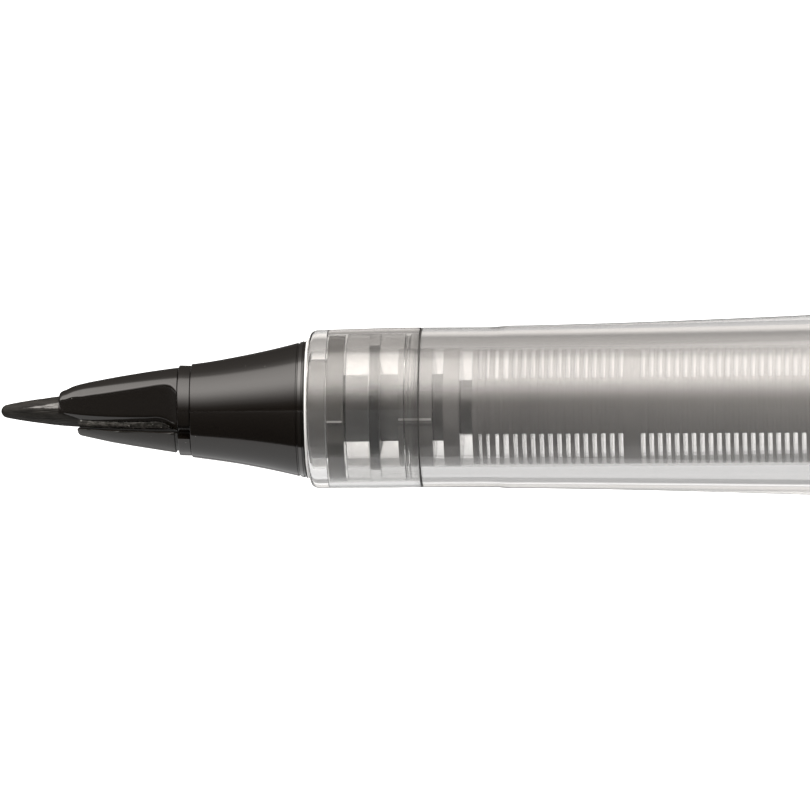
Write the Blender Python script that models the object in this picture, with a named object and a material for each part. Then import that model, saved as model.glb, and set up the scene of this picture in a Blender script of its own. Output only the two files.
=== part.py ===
"""Liquid-ink fibre-point pen with a clear grip. Its cap is put on the tail.

The pen lies along X with the writing point at -X and the hood over the nib facing +Z. A station is a
distance along the axis from the writing point. The origin is the centre of the flat end of the cap, on the
pen's axis. Sizes are in metres.
"""

import math

import bmesh
import bpy
from mathutils import Matrix, Vector

# Turning and fits
ROUND_SIDES = 24
FIN_SIDES = 16
FACE_GAP = 0.00010
FIT_GAP = 0.00005
SLIDE_GAP = 0.00008
LOOSE_GAP = 0.00030
SHARP_ANGLE = math.radians(30)

# Nib
NIB_EXPOSED = 0.00365
NIB_POINT_RADIUS = 0.00040
NIB_MOUTH_RADIUS = 0.00090
NIB_JAW_RADIUS = 0.00102
NIB_STEM_RADIUS = 0.00120
NIB_STEM_LENGTH = 0.0053
NIB_DROP = 0.00005
NIB_GAP = 0.00005

# Beak: hood above the nib, feed below it
BEAK_LENGTH = 0.0075
BEAK_FRONT_RADIUS = 0.00140
BEAK_REAR_RADIUS = 0.00266
BEAK_BULGE = 0.00006
BEAK_NOSE_FILLET = 0.00040
BEAK_STEM_RADIUS = 0.00195
BEAK_STEM_LENGTH = 0.0050
BEAK_GAP = 0.00015
JAW_SETBACK = 0.00120
JAW_FILLET = 0.00020
HOOD_EDGE_FRONT = 0.00020
HOOD_EDGE_REAR = 0.00060
HOOD_HEEL_DROP = 0.00035
HOOD_HEEL_LENGTH = 0.00065
HOOD_HEEL_SLOPE = 0.00040
FLAT_FRONT_WIDTH = 0.00232
FLAT_REAR_WIDTH = 0.00466
FLAT_MARGIN = 0.00035

# Holder ring
RING_RADIUS = 0.00278
RING_WIDTH = 0.00062
SLEEVE_RADIUS = 0.00240
SLEEVE_LENGTH = 0.0052
WINDOW_TOP = 0.00086
WINDOW_BOTTOM = 0.00165

# Front cone
CONE_LENGTH = 0.00698
CONE_MOUTH_RADIUS = 0.00287
CONE_BASE_RADIUS = 0.00428
CONE_STRAIGHTNESS = 0.77
SPIGOT_RADIUS = 0.00310
FLANGE_WIDTH = 0.00100
CONE_NECK_LENGTH = 0.00162

# Clear collar and grip
COLLAR_RADIUS = 0.00500
COLLAR_LENGTH = 0.00710
COLLAR_FILLET = 0.00050
COLLAR_WALL = 0.00034
COLLAR_LIP = 0.00122
BORE_RADIUS = 0.00375
GRIP_LENGTH = 0.03970
GRIP_STRAIGHT = 0.00420
GRIP_STEP_LENGTH = 0.00060
GRIP_STEP = 0.00009
GRIP_RADIUS = 0.00625
GRIP_LAND = 0.00170
GRIP_FLARE_POWER = 1.4
EDGE_BREAK = 0.00015

# Ink collector, seal and feed rod
NECK_RADIUS = 0.00210
NECK_LENGTH = 0.00115
SEAL_WIDTH = 0.00062
BLOCK_LENGTH = 0.00210
BLOCK_SPACE = 0.00075
DISC_WIDTH = 0.00095
FIN_RADIUS = 0.00360
FIN_CORE_RADIUS = 0.00170
FIN_SPACE = 0.00089
FIN_GAP = 0.00027
LEAD_FIN_PITCH = 0.00046
LEAD_FIN_GAPS = 2
FRONT_FIN_PITCH = 0.0005575
FRONT_FIN_GAPS = 15
MIDDLE_LAND_WIDTH = 0.00110
REAR_FIN_PITCH = 0.000528
REAR_FIN_GAPS = 30
REAR_LAND_WIDTH = 0.00400
NIPPLE_RADIUS = 0.00160
NIPPLE_LENGTH = 0.00600
FEED_RADIUS = 0.00090
FEED_REACH = 0.00300
GROOVE_TOP = 0.00080
GROOVE_BOTTOM = 0.00290
GROOVE_DEPTH = 0.00045

# Ink cartridge
CARTRIDGE_RADIUS = 0.00420
CARTRIDGE_WALL = 0.00050
CARTRIDGE_LENGTH = 0.05400
CARTRIDGE_NECK = 0.00100
CARTRIDGE_BALL_RADIUS = 0.00125
CARTRIDGE_BALL_REACH = 0.02000
CARTRIDGE_PLUG_LENGTH = 0.00300
CARTRIDGE_PLUG_HEAD = 0.00080

# Screwed joint
JOINT_RING_WIDTH = 0.00080
SPIGOT_NECK_RADIUS = 0.00485
SCREW_LENGTH = 0.00650
THREAD_PITCH = 0.00160
THREAD_TURNS = 2.5
THREAD_HEIGHT = 0.00035
THREAD_LEAD = 0.00090
THREAD_GAP = 0.00015
THREAD_ROWS_PER_TURN = 6
THREAD_FADE_ROWS = 3

# Rear barrel
BARREL_LENGTH = 0.05900
BARREL_POST_RADIUS = 0.00560
BARREL_TAIL_RADIUS = 0.00535
TAIL_PLUG_LENGTH = 0.00450
TAIL_HEAD_RADIUS = 0.00500
TAIL_HEAD_HEIGHT = 0.00120

# Cap and clip
CAP_LENGTH = 0.05400
CAP_RADIUS = 0.00660
CAP_WALL = 0.00092
CAP_MOUTH_FILLET = 0.00040
POST_DEPTH = 0.02300
CROWN_HEIGHT = 0.00120
CROWN_FILLET = 0.00040
CROWN_PLUG_LENGTH = 0.00350
LINER_WALL = 0.00080
LINER_LENGTH = 0.02000
LINER_FLOOR = 0.00100
CLIP_LENGTH = 0.03800
CLIP_WIDTH = 0.00320
CLIP_THICKNESS = 0.00080
CLIP_REACH = 0.00840
CLIP_FOOT_WIDTH = 0.00150
CLIP_FOOT_DEPTH = 0.00060
CLIP_BEAD_LENGTH = 0.00260
CLIP_TOE_LENGTH = 0.00160
CLIP_TOE_RISE = 0.00030

# Stations along the axis
HOOD_AT = NIB_EXPOSED
JAW_AT = HOOD_AT + JAW_SETBACK
STEP_AT = HOOD_AT + BEAK_LENGTH
RING_AT = STEP_AT + BEAK_GAP
CONE_AT = RING_AT + RING_WIDTH + FACE_GAP
COLLAR_AT = CONE_AT + CONE_LENGTH + FACE_GAP
GRIP_AT = COLLAR_AT + COLLAR_LENGTH + FACE_GAP
GRIP_END = GRIP_AT + GRIP_LENGTH
JOINT_RING_AT = GRIP_END + FACE_GAP
BARREL_AT = JOINT_RING_AT + JOINT_RING_WIDTH + FACE_GAP
TAIL_AT = BARREL_AT + BARREL_LENGTH
CAP_AT = TAIL_AT - POST_DEPTH
CAP_END = CAP_AT + CAP_LENGTH
SHELL_END = CAP_END - CROWN_HEIGHT - FACE_GAP
FLANGE_AT = COLLAR_AT + COLLAR_LIP + FACE_GAP
FLANGE_END = FLANGE_AT + FLANGE_WIDTH
GRIP_NOSE_AT = FLANGE_END + FACE_GAP
CONE_NECK_END = FLANGE_END + CONE_NECK_LENGTH
SEAL_AT = CONE_NECK_END + FIT_GAP
COLLECTOR_AT = SEAL_AT + SEAL_WIDTH + FIT_GAP

# Radii that follow from the fits
COLLAR_BORE = COLLAR_RADIUS - COLLAR_WALL
FLANGE_RADIUS = COLLAR_BORE - SLIDE_GAP
GRIP_NOSE_RADIUS = COLLAR_BORE - FIT_GAP
LAND_RADIUS = BORE_RADIUS - FIT_GAP
FEED_BORE = FEED_RADIUS + FIT_GAP
CARTRIDGE_BORE = CARTRIDGE_RADIUS + SLIDE_GAP
BARREL_BORE = CARTRIDGE_RADIUS + LOOSE_GAP
THREAD_CREST = SPIGOT_NECK_RADIUS + THREAD_HEIGHT
CAP_BORE = CAP_RADIUS - CAP_WALL
LINER_RADIUS = CAP_BORE - FIT_GAP
FLAT_ROUND = math.cos(math.pi / ROUND_SIDES)

# The clip's lower edge and the cap's lowest flat lie on one plane, so the pen doesn't roll.
CLIP_ANGLE = math.acos(CAP_RADIUS * FLAT_ROUND / math.hypot(CLIP_REACH, CLIP_WIDTH / 2)) + math.atan2(
    CLIP_WIDTH / 2, CLIP_REACH
)


def clear_scene():
    """Remove what the file starts with."""
    for item in list(bpy.data.objects):
        bpy.data.objects.remove(item, do_unlink=True)


def pen_axis():
    """Empty at the writing point. Every piece hangs on it."""
    axis = bpy.data.objects.new("pen_axis", None)
    axis.location = (-CAP_END, 0.0, 0.0)
    bpy.context.scene.collection.objects.link(axis)
    return axis


def finish(name, colour, roughness, metallic=0.0, clear=0.0):
    """Principled material of one piece."""
    material = bpy.data.materials.new(name + "_finish")
    material.use_nodes = True
    shader = material.node_tree.nodes["Principled BSDF"]
    shader.inputs["Base Color"].default_value = (*colour, 1.0)
    shader.inputs["Roughness"].default_value = roughness
    shader.inputs["Metallic"].default_value = metallic
    shader.inputs["Transmission Weight"].default_value = clear
    return material


def place(name, shape, parent, station, material=None):
    """Object made from a bmesh whose coordinates start at the given station on the axis."""
    bmesh.ops.recalc_face_normals(shape, faces=shape.faces)
    mesh = bpy.data.meshes.new(name)
    shape.to_mesh(mesh)
    shape.free()
    mesh.shade_smooth()
    mesh.set_sharp_from_angle(angle=SHARP_ANGLE)
    piece = bpy.data.objects.new(name, mesh)
    piece.parent = parent
    piece.location = (station, 0.0, 0.0)
    bpy.context.scene.collection.objects.link(piece)
    if material:
        mesh.materials.append(material)
    return piece


def turned(profile, sides=ROUND_SIDES, start=0.0):
    """Solid of revolution about X from a closed outline of (station, radius) points.

    A radius is a number, or a function of the angle. A radius of 0 is a point on the axis.
    The flats, not the corners, face the Y and Z directions.
    """
    shape = bmesh.new()
    rows = []
    angles = [(k + 0.5) * math.tau / sides for k in range(sides)]
    for station, radius in profile:
        if radius == 0:
            rows.append([shape.verts.new((station - start, 0.0, 0.0))])
            continue
        radii = [radius(a) if callable(radius) else radius for a in angles]
        rows.append(
            [
                shape.verts.new((station - start, r * math.sin(a), r * math.cos(a)))
                for a, r in zip(angles, radii)
            ]
        )
    for here, there in zip(rows, rows[1:] + rows[:1]):
        for k in range(sides):
            corners = [here[k % len(here)], here[(k + 1) % len(here)]]
            corners += [there[(k + 1) % len(there)], there[k % len(there)]]
            corners = list(dict.fromkeys(corners))
            if len(corners) > 2:
                shape.faces.new(corners)
    return shape


def arc(centre, radius, first, last, steps=4):
    """Points of a fillet in the plane of station and radius. Angles are in degrees from +station."""
    turn = [math.radians(first + (last - first) * k / steps) for k in range(steps + 1)]
    return [(centre[0] + radius * math.cos(a), centre[1] + radius * math.sin(a)) for a in turn]


def stepped(lengths, start):
    """Outer outline of a stepped shaft from (length, radius) stretches."""
    points = []
    station = start
    for length, radius in lengths:
        points += [(station, radius), (station + length, radius)]
        station += length
    return points


def prism(outline, low, high):
    """Solid from an outline of (station, height) points, carried along Y from low to high."""
    shape = bmesh.new()
    near = [shape.verts.new((x, low, z)) for x, z in outline]
    far = [shape.verts.new((x, high, z)) for x, z in outline]
    shape.faces.new(near)
    shape.faces.new(far)
    for k in range(len(outline)):
        after = (k + 1) % len(outline)
        shape.faces.new((near[k], near[after], far[after], far[k]))
    return shape


def cut(piece, name, shape, parent, drop=0.0):
    """Take a cutter's shape out of a piece."""
    cutter = place(name, shape, parent, 0.0)
    cutter.location.z = -drop
    cutter.hide_render = True
    cutter.display_type = "WIRE"
    step = piece.modifiers.new(name, "BOOLEAN")
    step.operation = "DIFFERENCE"
    step.object = cutter


def nib_outline(gap=0.0):
    """Rounded point, visible cone, slower cone between the jaws, and stem."""
    tip = arc((NIB_POINT_RADIUS, 0.0), NIB_POINT_RADIUS + gap, 180, 100)
    tip[0] = (tip[0][0], 0.0)
    end = STEP_AT + NIB_STEM_LENGTH + gap
    return tip + [
        (HOOD_AT, NIB_MOUTH_RADIUS + gap),
        (JAW_AT, NIB_JAW_RADIUS + gap),
        (STEP_AT, NIB_STEM_RADIUS + gap),
        (end, NIB_STEM_RADIUS + gap),
        (end, 0.0),
    ]


def beak_radius(station):
    """Outer radius of the beak: a cone with a slight bulge."""
    share = (station - HOOD_AT) / BEAK_LENGTH
    straight = BEAK_FRONT_RADIUS + (BEAK_REAR_RADIUS - BEAK_FRONT_RADIUS) * share
    return straight + BEAK_BULGE * 4 * share * (1 - share)


def beak_outline(front, fillet, rows=6):
    """Rounded front, bulged cone, rear step and stem, as a solid."""
    edge = beak_radius(front + fillet)
    nose = arc((front + fillet, edge - fillet), fillet, 180, 90)
    cone = []
    for k in range(1, rows + 1):
        station = front + fillet + (STEP_AT - front - fillet) * k / rows
        cone.append((station, beak_radius(station)))
    end = STEP_AT + BEAK_STEM_LENGTH
    stem = [(STEP_AT, BEAK_STEM_RADIUS), (end, BEAK_STEM_RADIUS), (end, 0.0)]
    return [(front, 0.0)] + nose + cone + stem


def make_nib(axis):
    shape = turned(nib_outline())
    piece = place("nib", shape, axis, 0.0, finish("nib", (0.02, 0.02, 0.02), 0.45))
    piece.location.z = -NIB_DROP


def make_nib_hood(axis):
    """Upper hood: beak above a sloping lower edge, hollowed for the nib, with two flat sides."""
    shape = turned(beak_outline(HOOD_AT, BEAK_NOSE_FILLET))
    piece = place("nib_hood", shape, axis, 0.0, finish("nib_hood", (0.012, 0.012, 0.012), 0.12))
    far = BEAK_REAR_RADIUS * 2
    heel = STEP_AT - HOOD_HEEL_LENGTH
    heel_depth = HOOD_EDGE_REAR + HOOD_HEEL_DROP
    edge = [
        (HOOD_AT - NIB_EXPOSED, -HOOD_EDGE_FRONT),
        (heel, -HOOD_EDGE_REAR),
        (heel + HOOD_HEEL_SLOPE, -heel_depth),
        (STEP_AT + BEAK_STEM_LENGTH * 2, -heel_depth),
    ]
    below = edge + [(edge[-1][0], -far), (edge[0][0], -far)]
    cut(piece, "hood_lower_cut", prism(below, -far, far), axis)
    cut(piece, "hood_nib_channel", turned(nib_outline(NIB_GAP)), axis, NIB_DROP)
    slope = (FLAT_REAR_WIDTH - FLAT_FRONT_WIDTH) / 2 / BEAK_LENGTH
    front = HOOD_AT - NIB_EXPOSED
    rear = STEP_AT - FLAT_MARGIN
    near = FLAT_FRONT_WIDTH / 2 + slope * (front - HOOD_AT)
    wide = FLAT_FRONT_WIDTH / 2 + slope * (rear - HOOD_AT)
    plan = [(front, near), (rear, wide), (rear, far), (front, far)]
    for name, side in (("hood_flat_left", 1), ("hood_flat_right", -1)):
        shape = prism(plan, -far, far)
        bmesh.ops.rotate(shape, verts=shape.verts, matrix=Matrix.Rotation(side * math.pi / 2, 3, "X"))
        cut(piece, name, shape, axis)


def make_nib_feed(axis):
    """Lower jaw: the part of the beak that lies under the nib."""
    shape = turned(beak_outline(JAW_AT, JAW_FILLET))
    piece = place("nib_feed", shape, axis, 0.0, finish("nib_feed", (0.02, 0.02, 0.02), 0.25))
    far = BEAK_REAR_RADIUS * 2
    under_front = NIB_JAW_RADIUS + NIB_DROP + NIB_GAP
    under_rear = NIB_STEM_RADIUS + NIB_DROP + NIB_GAP
    end = STEP_AT + BEAK_STEM_LENGTH * 2
    before = JAW_AT - JAW_SETBACK
    above = [(before, -under_front), (JAW_AT, -under_front), (STEP_AT, -under_rear), (end, -under_rear)]
    above += [(end, far), (before, far)]
    cut(piece, "feed_upper_cut", prism(above, -far, far), axis)


def make_holder_ring(axis):
    """Ring behind the beak, with a sleeve that goes into the cone and a window on each side."""
    bore = BEAK_STEM_RADIUS + FIT_GAP
    outline = stepped([(RING_WIDTH, RING_RADIUS), (SLEEVE_LENGTH, SLEEVE_RADIUS)], RING_AT)
    end = RING_AT + RING_WIDTH + SLEEVE_LENGTH
    outline += [(end, bore), (RING_AT, bore)]
    material = finish("holder_ring", (0.012, 0.012, 0.012), 0.14)
    piece = place("holder_ring", turned(outline), axis, 0.0, material)
    front = RING_AT - BEAK_GAP
    rear = RING_AT + RING_WIDTH - FACE_GAP
    window = [(front, -WINDOW_TOP), (rear, -WINDOW_TOP), (rear, -WINDOW_BOTTOM), (front, -WINDOW_BOTTOM)]
    cut(piece, "ring_windows", prism(window, -RING_RADIUS * 2, RING_RADIUS * 2), axis)


def cone_radius(share):
    """Cone that flares towards its base. share runs from 0 at the mouth to 1 at the base."""
    bend = CONE_STRAIGHTNESS * share + (1 - CONE_STRAIGHTNESS) * share * share
    return CONE_MOUTH_RADIUS + (CONE_BASE_RADIUS - CONE_MOUTH_RADIUS) * bend


def air_groove(start, end, radius):
    """Cutter for a flat air groove past a land of the given radius, on the side that faces -Y."""
    outline = [(start, -GROOVE_TOP), (end, -GROOVE_TOP), (end, -GROOVE_BOTTOM), (start, -GROOVE_BOTTOM)]
    return prism(outline, -radius * 2, -(radius - GROOVE_DEPTH))


def make_front_cone(axis, rows=8):
    """Flared cone. The collar's lip holds the flange behind it, and its neck meets the seal."""
    outline = [(CONE_AT + CONE_LENGTH * k / rows, cone_radius(k / rows)) for k in range(rows + 1)]
    sleeve_end = RING_AT + RING_WIDTH + SLEEVE_LENGTH + FACE_GAP
    sleeve_bore = SLEEVE_RADIUS + FIT_GAP
    outline += [
        (CONE_AT + CONE_LENGTH, SPIGOT_RADIUS),
        (FLANGE_AT, SPIGOT_RADIUS),
        (FLANGE_AT, FLANGE_RADIUS),
        (FLANGE_END, FLANGE_RADIUS),
        (FLANGE_END, NECK_RADIUS),
        (CONE_NECK_END, NECK_RADIUS),
        (CONE_NECK_END, FEED_BORE),
        (sleeve_end, FEED_BORE),
        (sleeve_end, sleeve_bore),
        (CONE_AT, sleeve_bore),
    ]
    material = finish("front_cone", (0.012, 0.012, 0.012), 0.16)
    piece = place("front_cone", turned(outline), axis, 0.0, material)
    groove = air_groove(FLANGE_AT - COLLAR_LIP / 2, FLANGE_END + FACE_GAP, FLANGE_RADIUS)
    cut(piece, "flange_air_groove", groove, axis)


def make_front_collar(axis):
    """Clear collar: a lip in front of the cone's flange, and a thin wall round the grip's nose."""
    end = COLLAR_AT + COLLAR_LENGTH
    lip_bore = SPIGOT_RADIUS + FIT_GAP
    lip_end = COLLAR_AT + COLLAR_LIP
    corner = (COLLAR_AT + COLLAR_FILLET, COLLAR_RADIUS - COLLAR_FILLET)
    outline = [(COLLAR_AT, lip_bore)] + arc(corner, COLLAR_FILLET, 180, 90)
    outline += [(end, COLLAR_RADIUS), (end, COLLAR_BORE), (lip_end, COLLAR_BORE), (lip_end, lip_bore)]
    material = finish("front_collar", (0.95, 0.95, 0.95), 0.06, clear=1.0)
    place("front_collar", turned(outline), axis, 0.0, material)


def make_seal_ring(axis):
    """Seal between the cone's neck and the collector's neck."""
    outline = stepped([(SEAL_WIDTH, LAND_RADIUS)], SEAL_AT)
    inner = FEED_BORE + FIT_GAP
    outline += [(SEAL_AT + SEAL_WIDTH, inner), (SEAL_AT, inner)]
    place("seal_ring", turned(outline), axis, 0.0, finish("seal_ring", (0.02, 0.02, 0.02), 0.5))


def collector_stretches():
    """(length, radius) stretches of the collector from its neck to its nipple."""
    stretches = [(NECK_LENGTH, NECK_RADIUS), (BLOCK_LENGTH, LAND_RADIUS)]
    stretches += [(BLOCK_SPACE, NECK_RADIUS), (DISC_WIDTH, LAND_RADIUS), (FIN_SPACE, FIN_CORE_RADIUS)]
    stretches += fins(LEAD_FIN_PITCH, LEAD_FIN_GAPS)
    stretches += fins(FRONT_FIN_PITCH, FRONT_FIN_GAPS)
    stretches += [(MIDDLE_LAND_WIDTH - (REAR_FIN_PITCH - FIN_GAP), FIN_RADIUS)]
    stretches += fins(REAR_FIN_PITCH, REAR_FIN_GAPS)
    stretches += [(REAR_LAND_WIDTH, LAND_RADIUS), (NIPPLE_LENGTH, NIPPLE_RADIUS)]
    return stretches


def fins(pitch, gaps):
    """Stretches of a row of fins, each with a gap behind it."""
    return [(pitch - FIN_GAP, FIN_RADIUS), (FIN_GAP, FIN_CORE_RADIUS)] * gaps


def collector_end():
    """Stations of the collector's rear land and of its nipple's end."""
    nipple_end = COLLECTOR_AT + sum(length for length, _ in collector_stretches())
    return nipple_end - NIPPLE_LENGTH, nipple_end


def make_collector(axis):
    """Stepped and finned collector with a bore for the feed rod."""
    _, end = collector_end()
    outline = stepped(collector_stretches(), COLLECTOR_AT) + [(end, FEED_BORE), (COLLECTOR_AT, FEED_BORE)]
    outline = [point for k, point in enumerate(outline) if point != outline[k - 1]]
    material = finish("collector", (0.02, 0.02, 0.02), 0.2)
    piece = place("collector", turned(outline, FIN_SIDES), axis, 0.0, material)
    block = COLLECTOR_AT + NECK_LENGTH
    groove = air_groove(block - NECK_LENGTH / 2, block + BLOCK_LENGTH + BLOCK_SPACE / 2, LAND_RADIUS)
    cut(piece, "block_air_groove", groove, axis)


def make_feed_rod(axis):
    """Fibre rod from the nib's stem through the collector into the cartridge."""
    start = STEP_AT + NIB_STEM_LENGTH + FACE_GAP
    _, end = collector_end()
    end += FEED_REACH
    outline = [(start, 0.0), (start, FEED_RADIUS), (end, FEED_RADIUS), (end, 0.0)]
    material = finish("feed_rod", (0.03, 0.03, 0.03), 0.8)
    place("feed_rod", turned(outline, FIN_SIDES), axis, 0.0, material)


def thread_radius(station, fade, inner):
    """Rounded right-hand thread at one station, as a function of the angle.

    The outer thread rises from the neck. The inner thread lies a gap outside it. fade runs from 0 at the
    thread's ends, where both are plain, to 1.
    """

    def radius(angle):
        phase = math.tau * (station - BARREL_AT) / THREAD_PITCH - (math.pi / 2 - angle)
        wave = (1 + math.cos(phase)) / 2
        if inner:
            return THREAD_CREST + THREAD_GAP - THREAD_HEIGHT * fade * (1 - wave)
        return SPIGOT_NECK_RADIUS + THREAD_HEIGHT * fade * wave

    return radius


def thread_rows(inner=False):
    """Outline points of the thread, along its whole length."""
    start = BARREL_AT + THREAD_LEAD
    rows = round(THREAD_TURNS * THREAD_ROWS_PER_TURN)
    points = []
    for k in range(rows + 1):
        station = start + THREAD_PITCH * THREAD_TURNS * k / rows
        fade = min(1.0, k / THREAD_FADE_ROWS, (rows - k) / THREAD_FADE_ROWS)
        points.append((station, thread_radius(station, fade, inner)))
    return points


def grip_outer(rows=10):
    """Straight stretch as wide as the collar, a soft step, a slow flare and a straight land."""
    flare_start = GRIP_AT + GRIP_STRAIGHT + GRIP_STEP_LENGTH
    flare_end = GRIP_END - GRIP_LAND
    start_radius = COLLAR_RADIUS + GRIP_STEP
    points = [(GRIP_AT, COLLAR_RADIUS), (GRIP_AT + GRIP_STRAIGHT, COLLAR_RADIUS)]
    for k in range(rows + 1):
        rise = (GRIP_RADIUS - start_radius) * (k / rows) ** GRIP_FLARE_POWER
        points.append((flare_start + (flare_end - flare_start) * k / rows, start_radius + rise))
    return points + [(GRIP_END, GRIP_RADIUS)]


def make_grip_barrel(axis):
    """Clear grip: nose inside the collar, bore for the collector, wider bore for the cartridge, screw."""
    land_end, _ = collector_end()
    end = GRIP_END + SCREW_LENGTH
    outline = [(GRIP_NOSE_AT, BORE_RADIUS), (GRIP_NOSE_AT, GRIP_NOSE_RADIUS), (GRIP_AT, GRIP_NOSE_RADIUS)]
    outline += grip_outer() + [(GRIP_END, SPIGOT_NECK_RADIUS)] + thread_rows()
    outline += [(end, SPIGOT_NECK_RADIUS), (end, CARTRIDGE_BORE)]
    outline += [(land_end + FACE_GAP, CARTRIDGE_BORE), (land_end + FACE_GAP, BORE_RADIUS)]
    material = finish("grip_barrel", (0.95, 0.95, 0.95), 0.06, clear=1.0)
    place("grip_barrel", turned(outline), axis, 0.0, material)


def cartridge_start():
    land_end, _ = collector_end()
    return land_end + 2 * FACE_GAP


def make_ink_cartridge(axis):
    """Ink tube. A hole in its front end fits over the collector's nipple."""
    start = cartridge_start()
    end = start + CARTRIDGE_LENGTH
    hole = NIPPLE_RADIUS + FIT_GAP
    inner = CARTRIDGE_RADIUS - CARTRIDGE_WALL
    outline = [(start, hole), (start, CARTRIDGE_RADIUS), (end, CARTRIDGE_RADIUS), (end, inner)]
    outline += [(start + CARTRIDGE_NECK, inner), (start + CARTRIDGE_NECK, hole)]
    material = finish("ink_cartridge", (0.8, 0.8, 0.8), 0.2, clear=0.6)
    place("ink_cartridge", turned(outline), axis, 0.0, material)


def make_cartridge_ball(axis):
    """Loose ball that lies on the cartridge's wall."""
    shape = bmesh.new()
    bmesh.ops.create_uvsphere(shape, u_segments=14, v_segments=9, radius=CARTRIDGE_BALL_RADIUS)
    _, end = collector_end()
    material = finish("cartridge_ball", (0.7, 0.7, 0.7), 0.25, 1.0)
    piece = place("cartridge_ball", shape, axis, end + CARTRIDGE_BALL_REACH, material)
    floor = (CARTRIDGE_RADIUS - CARTRIDGE_WALL) * FLAT_ROUND
    piece.location.z = CARTRIDGE_BALL_RADIUS + FACE_GAP - floor


def make_cartridge_plug(axis):
    """Plug with a head in the cartridge's rear end."""
    end = cartridge_start() + CARTRIDGE_LENGTH + FACE_GAP
    start = end - CARTRIDGE_PLUG_LENGTH
    body = CARTRIDGE_RADIUS - CARTRIDGE_WALL - FIT_GAP
    outline = [(start, 0.0)]
    outline += stepped([(CARTRIDGE_PLUG_LENGTH, body), (CARTRIDGE_PLUG_HEAD, CARTRIDGE_RADIUS)], start)
    outline.append((end + CARTRIDGE_PLUG_HEAD, 0.0))
    material = finish("cartridge_plug", (0.7, 0.7, 0.7), 0.35)
    place("cartridge_plug", turned(outline), axis, 0.0, material)


def make_joint_ring(axis):
    """Ring between the grip's shoulder and the barrel's mouth."""
    inner = THREAD_CREST + SLIDE_GAP
    outline = stepped([(JOINT_RING_WIDTH, GRIP_RADIUS)], JOINT_RING_AT)
    outline += [(JOINT_RING_AT + JOINT_RING_WIDTH, inner), (JOINT_RING_AT, inner)]
    material = finish("joint_ring", (0.02, 0.02, 0.02), 0.3)
    place("joint_ring", turned(outline), axis, 0.0, material)


def make_rear_barrel(axis):
    """Tapered barrel with an inner thread at its mouth."""
    mouth_bore = THREAD_CREST + THREAD_GAP
    counterbore_end = GRIP_END + SCREW_LENGTH + LOOSE_GAP
    outline = [
        (BARREL_AT, GRIP_RADIUS),
        (CAP_AT, BARREL_POST_RADIUS),
        (TAIL_AT - EDGE_BREAK, BARREL_TAIL_RADIUS),
        (TAIL_AT, BARREL_TAIL_RADIUS - EDGE_BREAK),
        (TAIL_AT, BARREL_BORE),
        (counterbore_end, BARREL_BORE),
        (counterbore_end, mouth_bore),
    ]
    outline += thread_rows(inner=True)[::-1] + [(BARREL_AT, mouth_bore)]
    material = finish("rear_barrel", (0.012, 0.012, 0.012), 0.18)
    place("rear_barrel", turned(outline), axis, 0.0, material)


def make_tail_plug(axis):
    """Plug with a low rounded head in the barrel's rear end."""
    start = TAIL_AT + FACE_GAP - TAIL_PLUG_LENGTH
    body = BARREL_BORE - FIT_GAP
    top = TAIL_AT + FACE_GAP + TAIL_HEAD_HEIGHT
    fillet = TAIL_HEAD_HEIGHT / 2
    outline = [(start, 0.0)] + stepped([(TAIL_PLUG_LENGTH, body)], start)
    outline += [(TAIL_AT + FACE_GAP, TAIL_HEAD_RADIUS)]
    outline += arc((top - fillet, TAIL_HEAD_RADIUS - fillet), fillet, 90, 0)
    outline.append((top, 0.0))
    place("tail_plug", turned(outline), axis, 0.0, finish("tail_plug", (0.012, 0.012, 0.012), 0.2))


def make_cap_shell(axis):
    """Cap tube with a notch for the clip's foot in the rim under the crown."""
    edge = (CAP_AT + CAP_MOUTH_FILLET, CAP_RADIUS - CAP_MOUTH_FILLET)
    outline = [(CAP_AT, CAP_BORE)] + arc(edge, CAP_MOUTH_FILLET, 180, 90)
    outline += [(SHELL_END, CAP_RADIUS), (SHELL_END, CAP_BORE)]
    material = finish("cap_shell", (0.012, 0.012, 0.012), 0.18)
    piece = place("cap_shell", turned(outline), axis, 0.0, material)
    floor = SHELL_END - CLIP_FOOT_WIDTH - 2 * LOOSE_GAP
    deep = CAP_BORE / 2
    high = CAP_RADIUS * 2
    outline = [(floor, deep), (CAP_END, deep), (CAP_END, high), (floor, high)]
    half = CLIP_WIDTH / 2 + LOOSE_GAP
    shape = prism(outline, -half, half)
    turn_to_clip(shape)
    cut(piece, "clip_notch", shape, axis)


def turn_to_clip(shape):
    """Turn a shape drawn along +Z to the clip's side of the cap."""
    bmesh.ops.rotate(shape, verts=shape.verts, matrix=Matrix.Rotation(clip_turn(), 3, "X"))


def clip_turn():
    """Angle about X that takes +Z to the clip's direction, between down and +Y."""
    return math.pi + CLIP_ANGLE


def make_cap_liner(axis):
    """Inner cap: a cup whose mouth takes the nib end of the pen."""
    end = SHELL_END - CROWN_PLUG_LENGTH - FACE_GAP
    start = end - LINER_LENGTH
    inner = LINER_RADIUS - LINER_WALL
    outline = [(start, inner), (start, LINER_RADIUS), (end, LINER_RADIUS), (end, 0.0)]
    outline += [(end - LINER_FLOOR, 0.0), (end - LINER_FLOOR, inner)]
    place("cap_liner", turned(outline), axis, 0.0, finish("cap_liner", (0.6, 0.6, 0.6), 0.4))


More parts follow.
